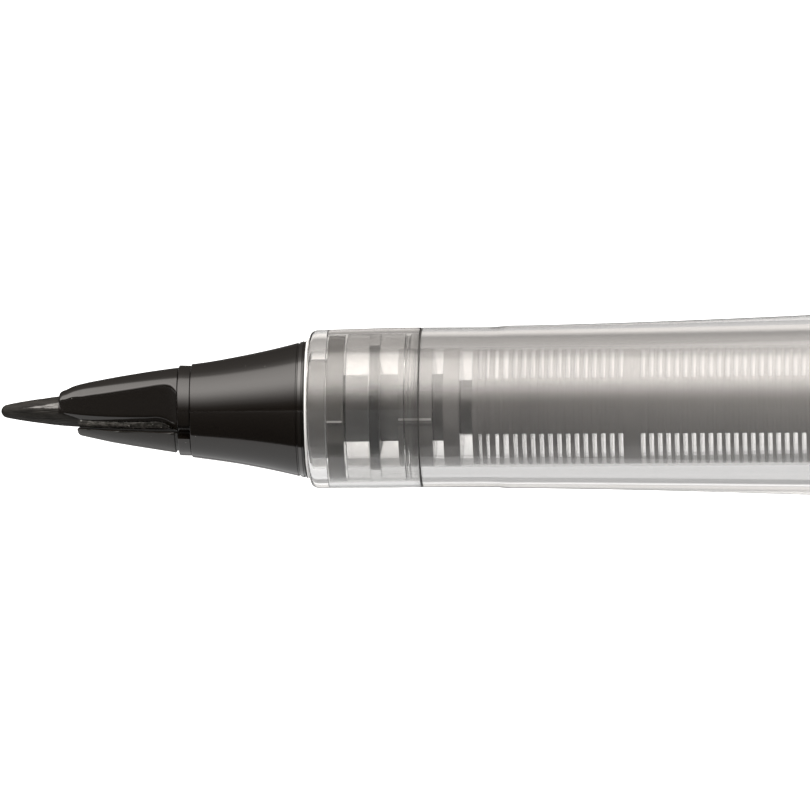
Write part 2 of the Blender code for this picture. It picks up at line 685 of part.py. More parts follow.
def make_cap_crown(axis):
    """Flat end of the cap with a plug in the shell. Its head covers the clip's foot."""
    start = SHELL_END + FACE_GAP - CROWN_PLUG_LENGTH
    corner = (CAP_END - CROWN_FILLET, CAP_RADIUS - CROWN_FILLET)
    outline = [(start, 0.0), (start, LINER_RADIUS), (SHELL_END + FACE_GAP, LINER_RADIUS)]
    outline += [(SHELL_END + FACE_GAP, CAP_RADIUS)] + arc(corner, CROWN_FILLET, 90, 0)
    outline.append((CAP_END, 0.0))
    place("cap_crown", turned(outline), axis, 0.0, finish("cap_crown", (0.012, 0.012, 0.012), 0.2))


def clip_pivot():
    """Station and radius of the line about which the clip gives."""
    return SHELL_END - LOOSE_GAP - CLIP_FOOT_WIDTH / 2, CAP_RADIUS


def make_clip(axis):
    """Spring clip: foot in the notch, straight arm, bead that nearly touches the cap, turned-up toe."""
    pivot, radius = clip_pivot()
    rear = SHELL_END - LOOSE_GAP
    foot = rear - CLIP_FOOT_WIDTH
    toe = rear - CLIP_LENGTH
    bead_end = toe + CLIP_TOE_LENGTH + CLIP_BEAD_LENGTH
    under = CLIP_REACH - CLIP_THICKNESS
    bead = CAP_RADIUS + LOOSE_GAP
    outline = [
        (rear, CAP_RADIUS - CLIP_FOOT_DEPTH),
        (rear, CLIP_REACH - CLIP_THICKNESS / 2),
        (rear - CLIP_THICKNESS / 2, CLIP_REACH),
        (toe, CLIP_REACH),
        (toe, under + CLIP_TOE_RISE),
        (toe + CLIP_TOE_LENGTH, bead),
        (bead_end - CLIP_BEAD_LENGTH / 2, bead),
        (bead_end, under),
        (foot, under),
        (foot, CAP_RADIUS - CLIP_FOOT_DEPTH),
    ]
    shape = prism([(x - pivot, z - radius) for x, z in outline], -CLIP_WIDTH / 2, CLIP_WIDTH / 2)
    piece = place("clip", shape, axis, pivot, finish("clip", (0.6, 0.6, 0.62), 0.25, 1.0))
    turn = Matrix.Rotation(clip_turn(), 4, "X")
    piece.rotation_euler = turn.to_euler()
    piece.location = turn @ Vector((pivot, 0.0, radius))


def build():
    clear_scene()
    axis = pen_axis()
    make_nib(axis)
    make_nib_hood(axis)
    make_nib_feed(axis)
    make_holder_ring(axis)
    make_front_cone(axis)
    make_front_collar(axis)
    make_seal_ring(axis)
    make_collector(axis)
    make_feed_rod(axis)
    make_grip_barrel(axis)
    make_ink_cartridge(axis)
    make_cartridge_ball(axis)
    make_cartridge_plug(axis)
    make_joint_ring(axis)
    make_rear_barrel(axis)
    make_tail_plug(axis)
    make_cap_shell(axis)
    make_cap_liner(axis)
    make_cap_crown(axis)
    make_clip(axis)


build()
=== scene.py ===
"""Fibre-point pen with a clear grip: surfaces, finishes, floor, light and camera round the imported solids."""

import bpy
import numpy as np
from mathutils import Matrix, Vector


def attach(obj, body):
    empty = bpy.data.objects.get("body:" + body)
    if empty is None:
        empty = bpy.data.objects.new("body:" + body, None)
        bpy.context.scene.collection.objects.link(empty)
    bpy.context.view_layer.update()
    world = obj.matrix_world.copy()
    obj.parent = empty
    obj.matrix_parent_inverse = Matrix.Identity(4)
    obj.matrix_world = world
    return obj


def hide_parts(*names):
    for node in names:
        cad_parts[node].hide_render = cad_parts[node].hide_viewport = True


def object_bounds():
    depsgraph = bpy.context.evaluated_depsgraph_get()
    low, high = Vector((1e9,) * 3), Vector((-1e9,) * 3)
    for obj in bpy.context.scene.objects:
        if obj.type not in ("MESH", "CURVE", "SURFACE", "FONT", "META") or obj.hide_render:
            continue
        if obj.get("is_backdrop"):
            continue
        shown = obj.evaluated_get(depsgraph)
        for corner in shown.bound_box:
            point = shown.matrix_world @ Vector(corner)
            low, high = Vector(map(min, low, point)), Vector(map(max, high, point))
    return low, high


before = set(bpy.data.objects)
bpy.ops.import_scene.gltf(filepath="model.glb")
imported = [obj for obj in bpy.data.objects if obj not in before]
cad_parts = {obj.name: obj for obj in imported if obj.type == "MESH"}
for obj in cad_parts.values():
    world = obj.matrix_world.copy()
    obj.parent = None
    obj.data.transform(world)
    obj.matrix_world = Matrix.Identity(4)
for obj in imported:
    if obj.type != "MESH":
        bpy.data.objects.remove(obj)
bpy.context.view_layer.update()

# Stations run from the nib's point along the pen, radii from its axis. All of them are in millimetres.
MM = 0.001
PEN_LENGTH = 157.0
TURN = 2 * np.pi
NEAR_ZERO, ON_AXIS = 1e-3, 1e-9
FIT_GAP, MARGIN, SLACK = 0.05, 0.1, 0.02

# Nib, hood and jaw.
NIB_OPEN, NIB_END, NIB_DROP = 3.65, 16.45, 0.07
NIB_TIP_LENGTH, NIB_TIP_RADIUS = 0.32, 0.29
NIB_MOUTH_RADIUS, NIB_STEM_RADIUS = 0.91, 1.20
RIDGE_DEPTH, RIDGE_START, CHANNEL_GAP = 0.007, 0.6, 0.04
BEAK_LENGTH = 7.50
BEAK_END = NIB_OPEN + BEAK_LENGTH
BEAK_FRONT_RADIUS, BEAK_REAR_RADIUS, BEAK_BULGE = 1.40, 2.68, 0.06
BEAK_STEM_RADIUS, BEAK_STEM_END = 1.92, 16.10
HOOD_NOSE, HOOD_REAR_FILLET, HOOD_BEVEL, HOOD_BEVEL_LENGTH = 0.48, 0.04, 0.34, 1.6
JAW_FRONT, JAW_REAR, JAW_NECK_RADIUS = 4.80, 11.00, 2.52
JAW_THINNING, JAW_THINNING_LENGTH, JAW_GAP = 0.085, 2.2, 0.01
JAW_FRONT_FILLET, JAW_REAR_FILLET, JAW_LIP_FILLET = 0.24, 0.08, 0.14
FACET_RISE, BEVEL_FALL = np.radians(38), np.radians(36)
FACET_DEPTH, FACET_LENGTH = 0.065, 1.5

# Ring, cone, collar and grip.
RING_FRONT, RING_REAR, RING_RADIUS = 11.19, 11.95, 2.82
SLEEVE_RADIUS, SLEEVE_BORE, SLEEVE_END, CONE_SEAT = 2.40, 2.00, 17.12, 17.22
WINDOW_TOP, WINDOW_BOTTOM, WINDOW_FLOOR = -0.86, -1.65, 2.22
CONE_FRONT, CONE_REAR = 11.99, 19.18
CONE_MOUTH_RADIUS, CONE_BASE_RADIUS = 2.92, 4.31
BEAD_FRONT, BEAD_REAR = 18.72, 19.08
BEAD_LINE_DEPTH, BEAD_LINE_EDGE, BEAD_LINE_FLOOR = 0.06, 0.07, 0.04
FLANGE_FRONT, FLANGE_REAR, FLANGE_RADIUS = 20.65, 21.70, 4.58
NECK_RADIUS, NECK_REAR = 2.10, 23.21
SPIGOT_RADIUS, FEED_BORE = 3.10, 0.95
GROOVE_TOP, GROOVE_BOTTOM, GROOVE_DEPTH = -0.80, -2.90, 0.45
COLLAR_FRONT, COLLAR_REAR, COLLAR_RADIUS = 19.38, 26.34, 5.00
COLLAR_FRONT_RADIUS, COLLAR_TAPER_END = 4.93, 24.50
RIM_FRONT, RIM_REAR, RIM_RADIUS = 19.23, 19.37, 4.38
FILM_FRONT, FILM_REAR, FILM_BORE, FILM_RADIUS = 26.36, 26.44, 4.67, 4.97
COLLAR_LIP_REAR, COLLAR_LIP_BORE, COLLAR_BORE = 20.55, 3.75, 4.66
GRIP_NOSE, GRIP_NOSE_RADIUS = 21.82, 4.61
SNAP_GROOVE, SNAP_DEPTH, SNAP_EDGE, SNAP_FLOOR = 25.62, 0.10, 0.16, 0.10
GRIP_FRONT, GRIP_STRAIGHT_END, GRIP_FLARE_START = 26.45, 30.55, 32.15
GRIP_FLARE_END, GRIP_REAR = 64.30, 66.00
GRIP_STEP_RADIUS, GRIP_RADIUS = 5.09, 6.25
GRIP_BORE, CARTRIDGE_BORE, GRIP_BORE_END = 3.75, 4.28, 59.66
SCREW_NECK_RADIUS, SCREW_END = 4.85, 72.50
THREAD_START, THREAD_PITCH, THREAD_LENGTH = 67.90, 1.60, 4.00
THREAD_HEIGHT, THREAD_RUN_IN = 0.35, 0.2

# Seal ring, collector and cartridge.
SEAL_FRONT, SEAL_REAR, SEAL_RADIUS, SEAL_BORE = 23.27, 23.90, 3.90, 1.00
SEAL_GAP, FIN_FILLET = 0.03, 0.03
COLLECTOR_FRONT, BLOCK_FRONT, BLOCK_REAR = 23.94, 25.07, 27.20
DISC_FRONT, DISC_REAR, LAND_RADIUS = 27.89, 28.89, 3.70
FIN_RADIUS, FIN_CORE_RADIUS, RIB_TOP, RIB_BOTTOM, RIB_DEPTH = 3.60, 1.70, 2.00, -1.47, 0.05
FIN_LAND_FRONT, FIN_LAND_REAR, NIPPLE_RADIUS, NIPPLE_END = 29.70, 55.56, 1.60, 65.56
COLLECTOR_LAND_REAR = 59.56
CARTRIDGE_FRONT, CARTRIDGE_FLOOR, CARTRIDGE_REAR = 59.76, 60.76, 113.76
CARTRIDGE_RADIUS, CARTRIDGE_INNER = 4.20, 3.70

# Joint ring, barrel, tail plug, cap and clip.
JOINT_FRONT, JOINT_REAR, JOINT_BORE = 66.10, 66.90, 5.28
BARREL_FRONT, BARREL_REAR = 67.00, 126.00
BARREL_POST_RADIUS, BARREL_TAIL_RADIUS = 5.60, 5.35
BARREL_BORE, BARREL_MOUTH_BORE, BARREL_MOUTH_END = 4.50, 5.35, 72.80
TAIL_PLUG_FRONT, TAIL_PLUG_RADIUS = 121.60, 4.45
TAIL_HEAD_FRONT, TAIL_HEAD_REAR, TAIL_HEAD_RADIUS = 126.10, 127.30, 5.00
CAP_FRONT, CAP_REAR, CAP_RADIUS, CAP_BORE = 103.00, 155.70, 6.60, 5.68
CAP_LINE_FRONT, CAP_LINE_REAR, CAP_LINE_DEPTH = 105.20, 105.70, 0.10
LINER_FRONT, LINER_FLOOR, LINER_REAR, LINER_RADIUS, LINER_INNER = 132.10, 151.10, 152.10, 5.63, 4.83
CROWN_PLUG_FRONT, CROWN_FRONT = 152.30, 155.80
CLIP_FOOT, CLIP_TOE, CLIP_WIDTH, CLIP_THICKNESS = 154.65, 117.40, 3.20, 0.80
CLIP_ANGLE, CLIP_ROOT_RADIUS, CLIP_ARM_RADIUS, CLIP_BEND = np.radians(50.858), 6.00, 8.00, 0.90
CLIP_BEAD, CLIP_BEAD_DEPTH, CLIP_BEAD_LENGTH = 120.20, 0.66, 1.15
CLIP_TOE_ROUND, CLIP_TOE_BLUNT, CLIP_ROOT_WIDTH, CLIP_WIDENING, CLIP_SQUARENESS = 1.5, 0.08, 0.86, 12, 5
NOTCH_FRONT, NOTCH_WIDTH, NOTCH_FLOOR = 153.60, 3.80, 5.74


# Grids

def eased(station, knots):
    """Smooth curve through (station, value) knots: cubic Hermite pieces, slopes from knots on both sides."""
    x, y = np.asarray(knots, float).T
    slope = np.gradient(y, x)
    k = np.clip(np.searchsorted(x, station) - 1, 0, len(x) - 2)
    span = x[k + 1] - x[k]
    t = np.clip((station - x[k]) / span, 0, 1)
    here = (1 + 2 * t) * (1 - t) ** 2 * y[k] + t * (1 - t) ** 2 * span * slope[k]
    there = t**2 * (3 - 2 * t) * y[k + 1] + t**2 * (t - 1) * span * slope[k + 1]
    return here + there


def rounded(corners, steps=6):
    """Closed outline with its (station, radius, fillet) corners rounded.

    Points A and B lie on both sides of a corner P, fillet / tan(half its angle) away, and the corner becomes
    the curve (1 - u)^2 A + 2 u (1 - u) P + u^2 B.
    """
    corners = np.asarray(corners, float)
    point = corners[:, :2]
    back, ahead = np.roll(point, 1, 0) - point, np.roll(point, -1, 0) - point
    back_length = np.linalg.norm(back, axis=1, keepdims=True)
    ahead_length = np.linalg.norm(ahead, axis=1, keepdims=True)
    cosine = np.sum(back * ahead, 1, keepdims=True) / (back_length * ahead_length)
    reach = corners[:, 2:] / np.tan(np.arccos(np.clip(cosine, -1, 1)) / 2)
    reach = np.minimum(reach, 0.48 * np.minimum(back_length, ahead_length))
    start = (point + back / back_length * reach)[:, None]
    end = (point + ahead / ahead_length * reach)[:, None]
    u = np.linspace(0, 1, steps)[None, :, None]
    curve = ((1 - u) ** 2 * start + 2 * u * (1 - u) * point[:, None] + u**2 * end).reshape(-1, 2)
    return curve[np.linalg.norm(curve - np.roll(curve, 1, 0), axis=1) > 1e-6]


def with_rows(outline, spacing):
    """The closed outline with extra points on sides longer than the spacing, but none on the axis."""
    ahead = np.roll(outline, -1, 0) - outline
    count = np.maximum(1, np.ceil(np.linalg.norm(ahead, axis=1) / spacing)).astype(int)
    count[(outline[:, 1] < ON_AXIS) & (np.roll(outline[:, 1], -1) < ON_AXIS)] = 1
    which = np.repeat(np.arange(len(outline)), count)
    share = (np.arange(count.sum()) - np.repeat(np.cumsum(count) - count, count)) / count[which]
    return outline[which] + ahead[which] * share[:, None]


def between(first, last, share):
    """Value at a share of the way from the first to the last."""
    return first + (last - first) * share


def round_points(station, radius, angle):
    """Points round the pen's axis: (station, radius sin a, radius cos a) at the angle a from straight up."""
    return np.stack((station + 0 * angle, radius * np.sin(angle), radius * np.cos(angle)), -1)


def revolved(outline, sides, shaped=None):
    """Grid of a turned piece: each (station, radius) of the outline carried round the pen's axis.

    `shaped` may change the radius over station and angle. A point on the axis is one pole.
    """
    angle = np.arange(sides) * (TURN / sides)
    station = np.repeat(outline[:, :1], sides, 1)
    radius = np.repeat(outline[:, 1:], sides, 1)
    if shaped:
        radius = shaped(station, radius, angle[None, :])
    points = round_points(station, radius, angle)
    number = np.arange(radius.size).reshape(radius.shape)
    pole = outline[:, 1] < ON_AXIS
    number[pole] = number[pole, :1]
    ahead = np.roll(number, -1, 0)
    quads = np.stack((number, ahead, np.roll(ahead, -1, 1), np.roll(number, -1, 1)), -1)
    return points.reshape(-1, 3), quads[~(pole & np.roll(pole, -1))].reshape(-1, 4)


def turned(corners, spacing, sides, shaped=None, steps=6):
    """Turned grid of (station, radius, fillet) corners, with rows no further apart than the spacing."""
    return revolved(with_rows(rounded(corners, steps), spacing), sides, shaped)


def stepped(*lands):
    """Corners of straight lands, each of which is (front, rear, radius, front fillet, rear fillet)."""
    return [corner for front, rear, radius, first, last in lands
            for corner in ((front, radius, first), (rear, radius, last))]


def plain_ring(front, rear, bore, radius, bore_fillet, rim_fillet):
    """Corners of a plain ring."""
    return stepped((front, rear, radius, rim_fillet, rim_fillet),
                   (rear, front, bore, bore_fillet, bore_fillet))


def unrounded(station, radius):
    """Corners of a smooth stretch, which have no fillet."""
    return np.stack((station, radius, 0 * station), -1).tolist()


def closer_at_start(count):
    """Shares from 0 to 1, closest at the start, for rows on a round edge: 1 - cos t over a quarter turn."""
    return 1 - np.cos(np.linspace(0, np.pi / 2, count))


def joined(rings):
    """Numbers of the points in closed rings, and the quads between each ring and the next."""
    number = np.arange(rings.shape[0] * rings.shape[1]).reshape(rings.shape[:2])
    here, there = number[:-1], number[1:]
    return number, np.stack((here, there, np.roll(there, -1, 1), np.roll(here, -1, 1)), -1).reshape(-1, 4)


def lofted(rings):
    """Grid of closed rings of points, row after row, with a fan to the middle of the first and last ring."""
    rows, columns = rings.shape[:2]
    number, quads = joined(rings)
    middles = np.stack((rings[0].mean(0), rings[-1].mean(0)))
    front, rear = np.full(columns, rows * columns), np.full(columns, rows * columns + 1)
    front_fan = np.stack((front, number[0], np.roll(number[0], -1), front), -1)
    rear_fan = np.stack((rear, np.roll(number[-1], -1), number[-1], rear), -1)
    return np.concatenate((rings.reshape(-1, 3), middles)), np.concatenate((quads, front_fan, rear_fan))


def new_object(name, points, faces, material):
    """Mesh object with one material."""
    mesh = bpy.data.meshes.new(name)
    mesh.from_pydata(points.tolist(), [], faces)
    mesh.materials.append(material)
    made = bpy.data.objects.new(name, mesh)
    bpy.context.scene.collection.objects.link(made)
    return made


def add_piece(name, grid, material, body, slot, *nodes, crease=35.0):
    """Mesh object of a grid in millimetres, which stands for CAD nodes and moves with a body.

    Faces point outwards, by the sign of the volume that they enclose. Faces that meet a pole lose the
    repeated corner. Shading is smooth up to the crease angle.
    """
    points, quads = grid
    points = (points - (PEN_LENGTH, 0, 0)) * MM
    a, b, c, d = (points[quads[:, k]] for k in range(4))
    if np.sum(a * (np.cross(b, c) + np.cross(c, d))) < 0:
        quads = quads[:, ::-1]
    used, quads = np.unique(quads, return_inverse=True)
    quads = quads.reshape(-1, 4)
    first, second = quads[:, 0] == quads[:, 3], quads[:, 1] == quads[:, 2]
    faces = quads[~first & ~second].tolist()
    faces += quads[first][:, :3].tolist() + quads[second][:, [0, 1, 3]].tolist()
    made = new_object(name, points[used], faces, material)
    made.data.shade_smooth()
    made.data.set_sharp_from_angle(angle=np.radians(crease))
    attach(made, body)
    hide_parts(*nodes)


# Nib, hood and jaw

def nib_radius(station):
    """Fibre nib: quarter-round point, full cone that grows as station^0.72, then a slow rise to the stem."""
    tip = NIB_TIP_RADIUS * np.sqrt(1 - (1 - np.minimum(station / NIB_TIP_LENGTH, 1)) ** 2)
    cone = (NIB_MOUTH_RADIUS - NIB_TIP_RADIUS) * np.minimum(station / NIB_OPEN, 1) ** 0.72
    share = np.clip((station - NIB_OPEN) / BEAK_LENGTH, 0, 1)
    return tip + cone + (NIB_STEM_RADIUS - NIB_MOUTH_RADIUS) * (1 - (1 - share) ** 2.2)


def fibre_ridges(station, radius, angle):
    """Two families of fine ridges that wander along the nib and fade towards its point."""
    ridges = np.cos(29 * angle + 4 * np.sin(0.9 * station))
    ridges += np.cos(43 * angle - 5 * np.sin(0.7 * station + 1))
    return radius * (1 + RIDGE_DEPTH * ridges * np.clip(station / RIDGE_START, 0, 1))


def nib_grid():
    """The nib's profile from its point to the end of its stem, turned round an axis just under the pen's."""
    tip = NIB_TIP_LENGTH * closer_at_start(16)
    body = np.linspace(NIB_TIP_LENGTH, BEAK_END, 150)[1:]
    station = np.concatenate((tip, body, [NIB_END]))
    outline = np.stack((station, nib_radius(station)), -1)
    points, quads = revolved(np.concatenate((outline, [[NIB_END, 0.0]])), 256, fibre_ridges)
    return points - (0, 0, NIB_DROP), quads


def beak_radius(station):
    """Outer radius of hood and jaw: a straight taper with a slight bulge halfway."""
    share = np.clip((station - NIB_OPEN) / BEAK_LENGTH, 0, 1)
    return between(BEAK_FRONT_RADIUS, BEAK_REAR_RADIUS, share) + 4 * BEAK_BULGE * share * (1 - share)


def edge_drop(distance, fillet):
    """Depth that a round edge of that fillet has lost, at a distance from the end of the piece."""
    inside = np.clip(1 - distance / fillet, 0, 1)
    return fillet * (1 - np.sqrt(1 - inside**2))


def softer_of(one, other, sharpness):
    """Smooth minimum of two positive lengths: (one^-n + other^-n)^(-1/n)."""
    return one * (1 + (one / other) ** sharpness) ** (-1 / sharpness)


def drooped(grid):
    """The grid set slightly under the pen's axis, most at the ring, less along the cone and the collar."""
    points, quads = grid
    drop = eased(points[:, 0], [(3.5, 0.03), (8.0, 0.045), (11.0, 0.08), (12.0, 0.11), (15.0, 0.095),
                                (19.0, 0.07), (20.3, 0.05), (24.0, 0.01), (25.0, 0.0), (27.0, 0.0)])
    return points - np.stack((0 * drop, 0 * drop, drop), -1), quads


def hood_grid():
    """Hood over the nib. Each cross-section is a crescent between the nib's channel and an outer limit.

    At the angle a from straight up the outer radius is the smooth minimum of the beak's radius and of the
    ways to planes: a facet (depth / (|sin a| cos e + cos a sin e)), the flat side (half width / |sin a|), a
    bevel under it and the lower face (drop / -cos a). The crescent ends where that meets the channel.
    """
    nose = NIB_OPEN + HOOD_NOSE * closer_at_start(14)
    body = np.linspace(NIB_OPEN + HOOD_NOSE, BEAK_END - HOOD_REAR_FILLET, 96)[1:]
    rear = BEAK_END - HOOD_REAR_FILLET * closer_at_start(6)[-2::-1]
    beak = np.concatenate((nose, body, rear))
    station = np.concatenate((beak, [BEAK_END, BEAK_END + 0.1, 13.0, BEAK_STEM_END]))[:, None]
    nose_drop = eased(station, [(3.65, 0.45), (3.70, 0.34), (3.82, 0.255), (4.08, 0.20), (4.54, 0.08),
                                (5.25, 0.025), (6.4, 0.01), (11.2, 0.0), (17.0, 0.0)])
    top = beak_radius(station) - nose_drop - edge_drop(BEAK_END - station, HOOD_REAR_FILLET)
    top[len(beak):] = BEAK_STEM_RADIUS
    flat = eased(station, [(3.65, 0.78), (3.72, 0.88), (3.9, 0.97), (4.3, 1.09), (4.86, 1.24), (6.1, 1.43),
                           (7.95, 1.63), (9.4, 1.74), (9.9, 1.77), (10.5, 1.86), (10.8, 1.98), (11.0, 2.14),
                           (11.2, 2.36)])
    edge = eased(station, [(3.65, 0.06), (4.9, 0.20), (6.1, 0.28), (9.1, 0.33), (10.1, 0.33), (10.5, 0.48),
                           (10.9, 0.74), (11.2, 0.84)])
    drop = edge + HOOD_BEVEL * np.clip((station - NIB_OPEN) / HOOD_BEVEL_LENGTH, 0.12, 1)
    channel = nib_radius(station) + CHANNEL_GAP
    angle = np.arccos(np.clip(-drop / channel, -1, 1)) * np.linspace(-1, 1, 281)
    across, up = np.abs(np.sin(angle)), np.cos(angle)
    facet = top - FACET_DEPTH * np.clip((station - NIB_OPEN) / FACET_LENGTH, 0, 1)
    bevel = flat * np.cos(BEVEL_FALL) + edge * np.sin(BEVEL_FALL)
    to_facet = across * np.cos(FACET_RISE) + up * np.sin(FACET_RISE)
    to_bevel = across * np.cos(BEVEL_FALL) - up * np.sin(BEVEL_FALL)
    outer = top + 0 * angle
    for reach, share, sharpness in ((facet, to_facet, 120), (flat, across, 80), (bevel, to_bevel, 60),
                                    (drop, -up, 40)):
        outer = softer_of(outer, reach / np.maximum(share, NEAR_ZERO), sharpness)
    outer = np.maximum(outer, channel * 1.0005)
    inside = round_points(station, channel, angle) - (0, 0, NIB_DROP / 2)
    rings = np.concatenate((round_points(station, outer, angle), inside[:, ::-1]), 1)
    number, quads = joined(rings)
    half = rings.shape[1] // 2
    out, back = number[:, :half], number[:, half:][:, ::-1]
    front = np.stack((out[0, :-1], out[0, 1:], back[0, 1:], back[0, :-1]), -1)
    end = np.stack((back[-1, :-1], back[-1, 1:], out[-1, 1:], out[-1, :-1]), -1)
    return rings.reshape(-1, 3), np.concatenate((quads, front, end))


def jaw_grid():
    """Lower jaw: a segment of the beak's circle below the nib, with soft upper edges, then neck and stem.

    Each cross-section is measured from its own middle: the distance in the direction b from straight up is
    the smooth minimum of the way to the circle and of the way to the plane.
    """
    front = JAW_FRONT + JAW_FRONT_FILLET * closer_at_start(10)
    body = np.linspace(JAW_FRONT + JAW_FRONT_FILLET, JAW_REAR - JAW_REAR_FILLET, 90)[1:]
    rear = JAW_REAR - JAW_REAR_FILLET * closer_at_start(6)[-2::-1]
    stem = [JAW_REAR + 0.005, RING_FRONT - 0.02, RING_FRONT - 0.015, BEAK_STEM_END]
    station = np.concatenate((front, body, rear, stem))[:, None]
    radius = beak_radius(station) - edge_drop(station - JAW_FRONT, JAW_FRONT_FILLET)
    radius -= edge_drop(JAW_REAR - station, JAW_REAR_FILLET)
    radius -= JAW_THINNING * np.clip(1 - (station - JAW_FRONT) / JAW_THINNING_LENGTH, 0, 1)
    radius[-4:-2], radius[-2:] = JAW_NECK_RADIUS, BEAK_STEM_RADIUS
    plane = nib_radius(station) + NIB_DROP + JAW_GAP + 0.5 * edge_drop(station - JAW_FRONT, JAW_LIP_FILLET)
    middle, half = (plane + radius) / 2, (radius - plane) / 2
    angle = np.linspace(0, TURN, 192, endpoint=False)[None, :]
    to_circle = middle * np.cos(angle) + np.sqrt(radius**2 - (middle * np.sin(angle)) ** 2)
    reach = softer_of(to_circle, half / np.maximum(np.cos(angle), NEAR_ZERO), 48)
    return lofted(np.stack((station + 0 * angle, reach * np.sin(angle), reach * np.cos(angle) - middle), -1))


# Ring, cone, collar and grip

def ring_windows(station, radius, angle):
    """Two windows low on the ring's sides, cut to a shallow floor between two heights."""
    height = radius * np.cos(angle)
    window = (height < WINDOW_TOP) & (height > WINDOW_BOTTOM) & (station < RING_REAR + SLACK / 2)
    return np.where(window, np.minimum(radius, WINDOW_FLOOR), radius)


def ring_grid():
    """Flange with round edges, then the sleeve inside the cone."""
    corners = stepped(
        (RING_FRONT, RING_REAR, RING_RADIUS, 0.08, 0.03),
        (RING_REAR, SLEEVE_END, SLEEVE_RADIUS, 0.03, 0.1),
        (SLEEVE_END, RING_FRONT, SLEEVE_BORE, 0.05, 0.02))
    return turned(corners, 0.15, 240, ring_windows)


def air_groove(radius, angle, rows, land_radius):
    """Radius with a flat cut into a land on the side that faces -Y, between two heights, in those rows."""
    height = radius * np.cos(angle)
    cut = rows & (np.sin(angle) < 0) & (height < GROOVE_TOP) & (height > GROOVE_BOTTOM)
    flat = (land_radius - GROOVE_DEPTH) / np.maximum(np.abs(np.sin(angle)), NEAR_ZERO)
    return np.where(cut, np.minimum(radius, flat), radius)


def cone_groove(station, radius, angle):
    """Air groove across the flange."""
    flange = (station > FLANGE_FRONT - MARGIN) & (radius > SPIGOT_RADIUS + 2 * MARGIN)
    return air_groove(radius, angle, flange, FLANGE_RADIUS)


def cone_grid():
    """Flared cone, whose radius grows by 0.64 t + 0.36 t^2 of its rise, then spigot, flange and neck.

    Two fine lines near its base set off a narrow bead.
    """
    flank = np.linspace(CONE_FRONT, BEAD_FRONT - MARGIN, 58)[1:]
    bead = np.linspace(BEAD_FRONT + MARGIN, BEAD_REAR - MARGIN, 4)
    line = np.array((-BEAD_LINE_EDGE, -BEAD_LINE_FLOOR, BEAD_LINE_FLOOR, BEAD_LINE_EDGE))
    cut = BEAD_LINE_DEPTH * np.array((0, 1, 1, 0))
    station = np.concatenate((flank, BEAD_FRONT + line, bead, BEAD_REAR + line))
    share = (station - CONE_FRONT) / (CONE_REAR - CONE_FRONT)
    flare = between(CONE_MOUTH_RADIUS, CONE_BASE_RADIUS, 0.64 * share + 0.36 * share**2)
    flare -= np.concatenate((0 * flank, cut, 0 * bead, cut))
    corners = [
        (CONE_FRONT, CONE_MOUTH_RADIUS, 0.04), *unrounded(station, flare),
        (CONE_REAR, CONE_BASE_RADIUS, 0.07),
        *stepped(
            (CONE_REAR, FLANGE_FRONT, SPIGOT_RADIUS, 0.05, 0.05),
            (FLANGE_FRONT, FLANGE_REAR, FLANGE_RADIUS, 0.06, 0.06),
            (FLANGE_REAR, NECK_REAR, NECK_RADIUS, 0.06, 0.06),
            (NECK_REAR, CONE_SEAT, FEED_BORE, 0.03, 0.03),
            (CONE_SEAT, CONE_FRONT, SLEEVE_RADIUS + FIT_GAP, 0.03, 0.02)),
    ]
    return turned(corners, 0.25, 200, cone_groove)


def collar_grid():
    """Clear collar: round front edge, a lip that bears on the flange, and a bore over the grip's nose."""
    corners = [
        (COLLAR_FRONT, COLLAR_FRONT_RADIUS, 0.65),
        *stepped(
            (COLLAR_TAPER_END, COLLAR_REAR, COLLAR_RADIUS, 0.5, 0.04),
            (COLLAR_REAR, COLLAR_LIP_REAR, COLLAR_BORE, 0.05, 0.06),
            (COLLAR_LIP_REAR, COLLAR_FRONT, COLLAR_LIP_BORE, 0.06, 0.06)),
    ]
    return turned(corners, 0.2, 240, steps=12)


def rim_grid():
    """Front edge of the collar, a narrow pale matt ring behind the cone: a painted highlight for the bright
    line there.
    """
    return turned(plain_ring(RIM_FRONT, RIM_REAR, COLLAR_LIP_BORE, RIM_RADIUS, 0.02, 0.05), 0.2, 160)


def film_grid():
    """Dark, thin ring in the parting line between collar and grip."""
    return turned(plain_ring(FILM_FRONT, FILM_REAR, FILM_BORE, FILM_RADIUS, 0.01, 0.02), 1.0, 160)


def thread_fade(station):
    """Share of the thread's height: 0 at its ends, 1 a short way in."""
    along = (station - THREAD_START) / THREAD_LENGTH
    return np.clip(np.minimum(along, 1 - along) / THREAD_RUN_IN, 0, 1)


def thread_wave(station, angle):
    """Right-hand screw: a cosine that moves on by one pitch in a turn."""
    phase = TURN * (station - BARREL_FRONT) / THREAD_PITCH - (np.pi / 2 - angle)
    return (1 + np.cos(phase)) / 2


def outer_thread(station, radius, angle):
    """Round thread that rises from the grip's neck."""
    neck = (station > THREAD_START) & (np.abs(radius - SCREW_NECK_RADIUS) < SLACK)
    return np.where(neck, radius + THREAD_HEIGHT * thread_fade(station) * thread_wave(station, angle), radius)


def inner_thread(station, radius, angle):
    """The matching thread in the barrel's mouth."""
    bore = (station > THREAD_START) & (np.abs(radius - BARREL_MOUTH_BORE) < SLACK)
    fade = thread_fade(station) * (1 - thread_wave(station, angle))
    return np.where(bore & (station < BARREL_MOUTH_END - MARGIN), radius - THREAD_HEIGHT * fade, radius)


